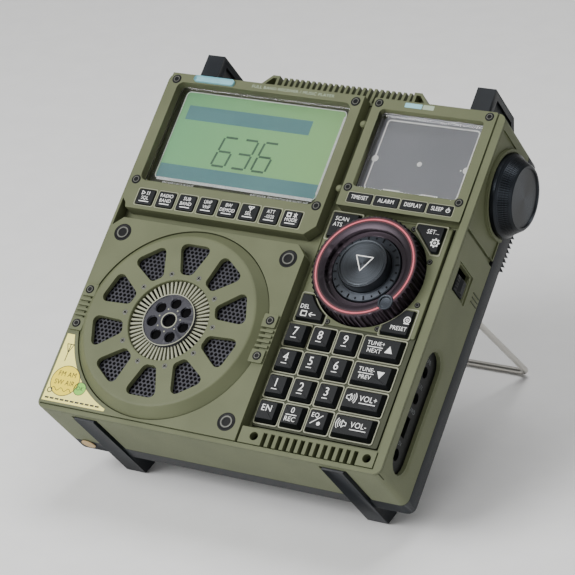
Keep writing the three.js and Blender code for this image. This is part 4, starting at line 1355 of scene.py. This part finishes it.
# %% Yellow label
LABEL_Y = -0.06
label = block("corner_label", (-82.2, LABEL_Y, 3.4), (-50, 0.02, 35.3))
cut(label, turned("disc", [(0, -2), (46.6, -2), (46.6, 2), (0, 2)], SPEAKER, 160))
put(label, "case", paper_yellow)
print_y = LABEL_Y - 0.02
amber = [turned("amber", [(0, print_y), (7.0, print_y)], (-74.2, 13.6), 64)]
put(joined("label_amber", amber), "case", amber_ink)
green = [turned("green", [(0, print_y), (3.0, print_y)], (-65.6, 11.2), 40)]
put(joined("label_green", green), "case", green_ink)
dark = [ring(-74.2, 13.6, 7.2, 0.3, print_y - 0.02, 64), ring(-65.6, 11.2, 3.1, 0.25, print_y - 0.02, 40),
        ring(-80, 8.4, 1.3, 0.4, print_y - 0.02, 24)]
dark += [stroke(-78.4, 22.5, -78.4, 30.5, print_y, 0.4), stroke(-78.4, 26.5, -80.2, 30.6, print_y, 0.35),
         stroke(-78.4, 26.5, -76.8, 30.6, print_y, 0.35), stroke(-80.2, 30.6, -76.8, 30.6, print_y, 0.35)]
dark += [lettering("FM AM", -74.2, 16.6, print_y - 0.02, 2.4, 0.9), lettering("SW AIR", -74.2, 12.6, print_y - 0.02, 2.4, 0.9),
         lettering("OK", -65.6, 11.2, print_y - 0.02, 1.9, 0.9)]
wave = [(-79.5 + step * 0.75, 9.4 + 0.8 * math.sin(step * 1.25)) for step in range(15)]
dark += [stroke(*a, *b, print_y - 0.02, 0.25) for a, b in zip(wave, wave[1:])]
dark += [bar(x, x + 2.0, 4.4, 5.2, print_y) for x in [-81 + 2.6 * step for step in range(11)]]
put(joined("label_print", dark), "case", dark_ink)
top_label = block("top_label", (-70.2, -0.05, 164.9), (-49.5, 0.02, 167.9), 1.3)
put(top_label, "case", blue_label)
put(block("second_label", (36.3, -0.05, 165.5), (44.5, 0.02, 167.7), 0.3), "case", blue_label)
put(block("third_label", (45.0, -0.05, 165.5), (50.3, 0.02, 167.7), 0.3), "case", pale_ink)
pegs = [turned("peg", [(0, 1.2), (1.0, 1.3), (1.6, 1.9), (1.6, 6), (0, 6)], place, 32) for place in ((18.9, 156), (18.9, 124))]
put(soften(joined("bezel_pegs", pegs), 0.1, 1), "case", olive_abs)
words = [lettering("FULL BAND RECEIVER / MUSIC PLAYER", -19.5, 166.4, -0.02, 1.5, 1.12)]
put(joined("bezel_words", words), "case", pale_ink)
pad = turned("foot_pad", [(0, 0), (3.3, 0), (3.3, 0.5), (0, 0.5)], sides=40)
moved(pad, spin=-math.pi / 2, axis="X")
put(soften(moved(pad, (-75.1, 36.5, -0.25)), 0.1, 1), "case", tan_felt)
print("labels done:", len(placed))

# %% [markdown]
# ## Inside parts
# Some CAD parts stay as they are: they sit behind windows or walls. Each still gets a
# real finish, because a cut-away view would show them.

# %% Finishes of the carried-over parts
paper_cone = grained("pressed_paper_speaker_cone", "3a3835", "46423c", 0.8, 0.25, 0.6)
board_green = grained("green_solder_mask_on_glass_epoxy", "1f4a2c", "2a5c38", 0.35, 0.9, 0.2, 6)
cell_wrap = grained("blue_heat_shrink_on_cells", "2d4b78", "34568a", 0.35, 1.2, 0.1, 25)
ferrite_grey = grained("fired_black_ferrite", "2c2a2b", "383536", 0.6, 0.3, 0.4)
inside = {"speaker_driver": paper_cone, "main_board": board_green, "battery_pack": cell_wrap,
          "ferrite_antenna": ferrite_grey}
for name, material in inside.items():
    carried = frame["nodes"][name]
    carried.data.materials.clear()
    carried.data.materials.append(material)
print("carried-over parts finished:", list(inside))

# %% [markdown]
# ## Studio
# A plain pale floor and three large soft lamps, as for a catalogue picture: one big
# one above and to the left of the panel, a weaker fill, and a long one behind.

# %% Floor, lamps and world
only()
bpy.ops.mesh.primitive_plane_add(size=6, location=(0, 0, -0.0004))
ground = bpy.context.object
ground.name = "ground"
pale_floor = grained("pale_studio_paper", "f3f3f2", "f6f6f5", 0.9, 3, 0.02)
ground.data.materials.append(pale_floor)


def lamp(name, place, target, size, power):
    light = bpy.data.lights.new(name, "AREA")
    light.shape = "RECTANGLE"
    light.size, light.size_y = size
    light.energy = power
    body = bpy.data.objects.new(name, light)
    body.location = place
    body.rotation_euler = (Vector(target) - Vector(place)).to_track_quat("-Z", "Y").to_euler()
    bpy.context.scene.collection.objects.link(body)
    return body


lamp("key", (-0.62, -1.05, 1.0), (0, 0, 0.08), (0.9, 0.9), 28)
lamp("fill", (0.9, -0.9, 0.6), (0, 0, 0.06), (0.8, 0.8), 2.5)
lamp("top", (0.1, 0.35, 1.4), (0, 0, 0.05), (0.9, 0.9), 11)
world = bpy.data.worlds.new("studio")
world.use_nodes = True
world.node_tree.nodes["Background"].inputs["Color"].default_value = (1, 1, 1, 1)
world.node_tree.nodes["Background"].inputs["Strength"].default_value = 0.22
bpy.context.scene.world = world
print("studio ready")

# %% [markdown]
# ## Finish

# %% Finish
bpy.context.view_layer.update()
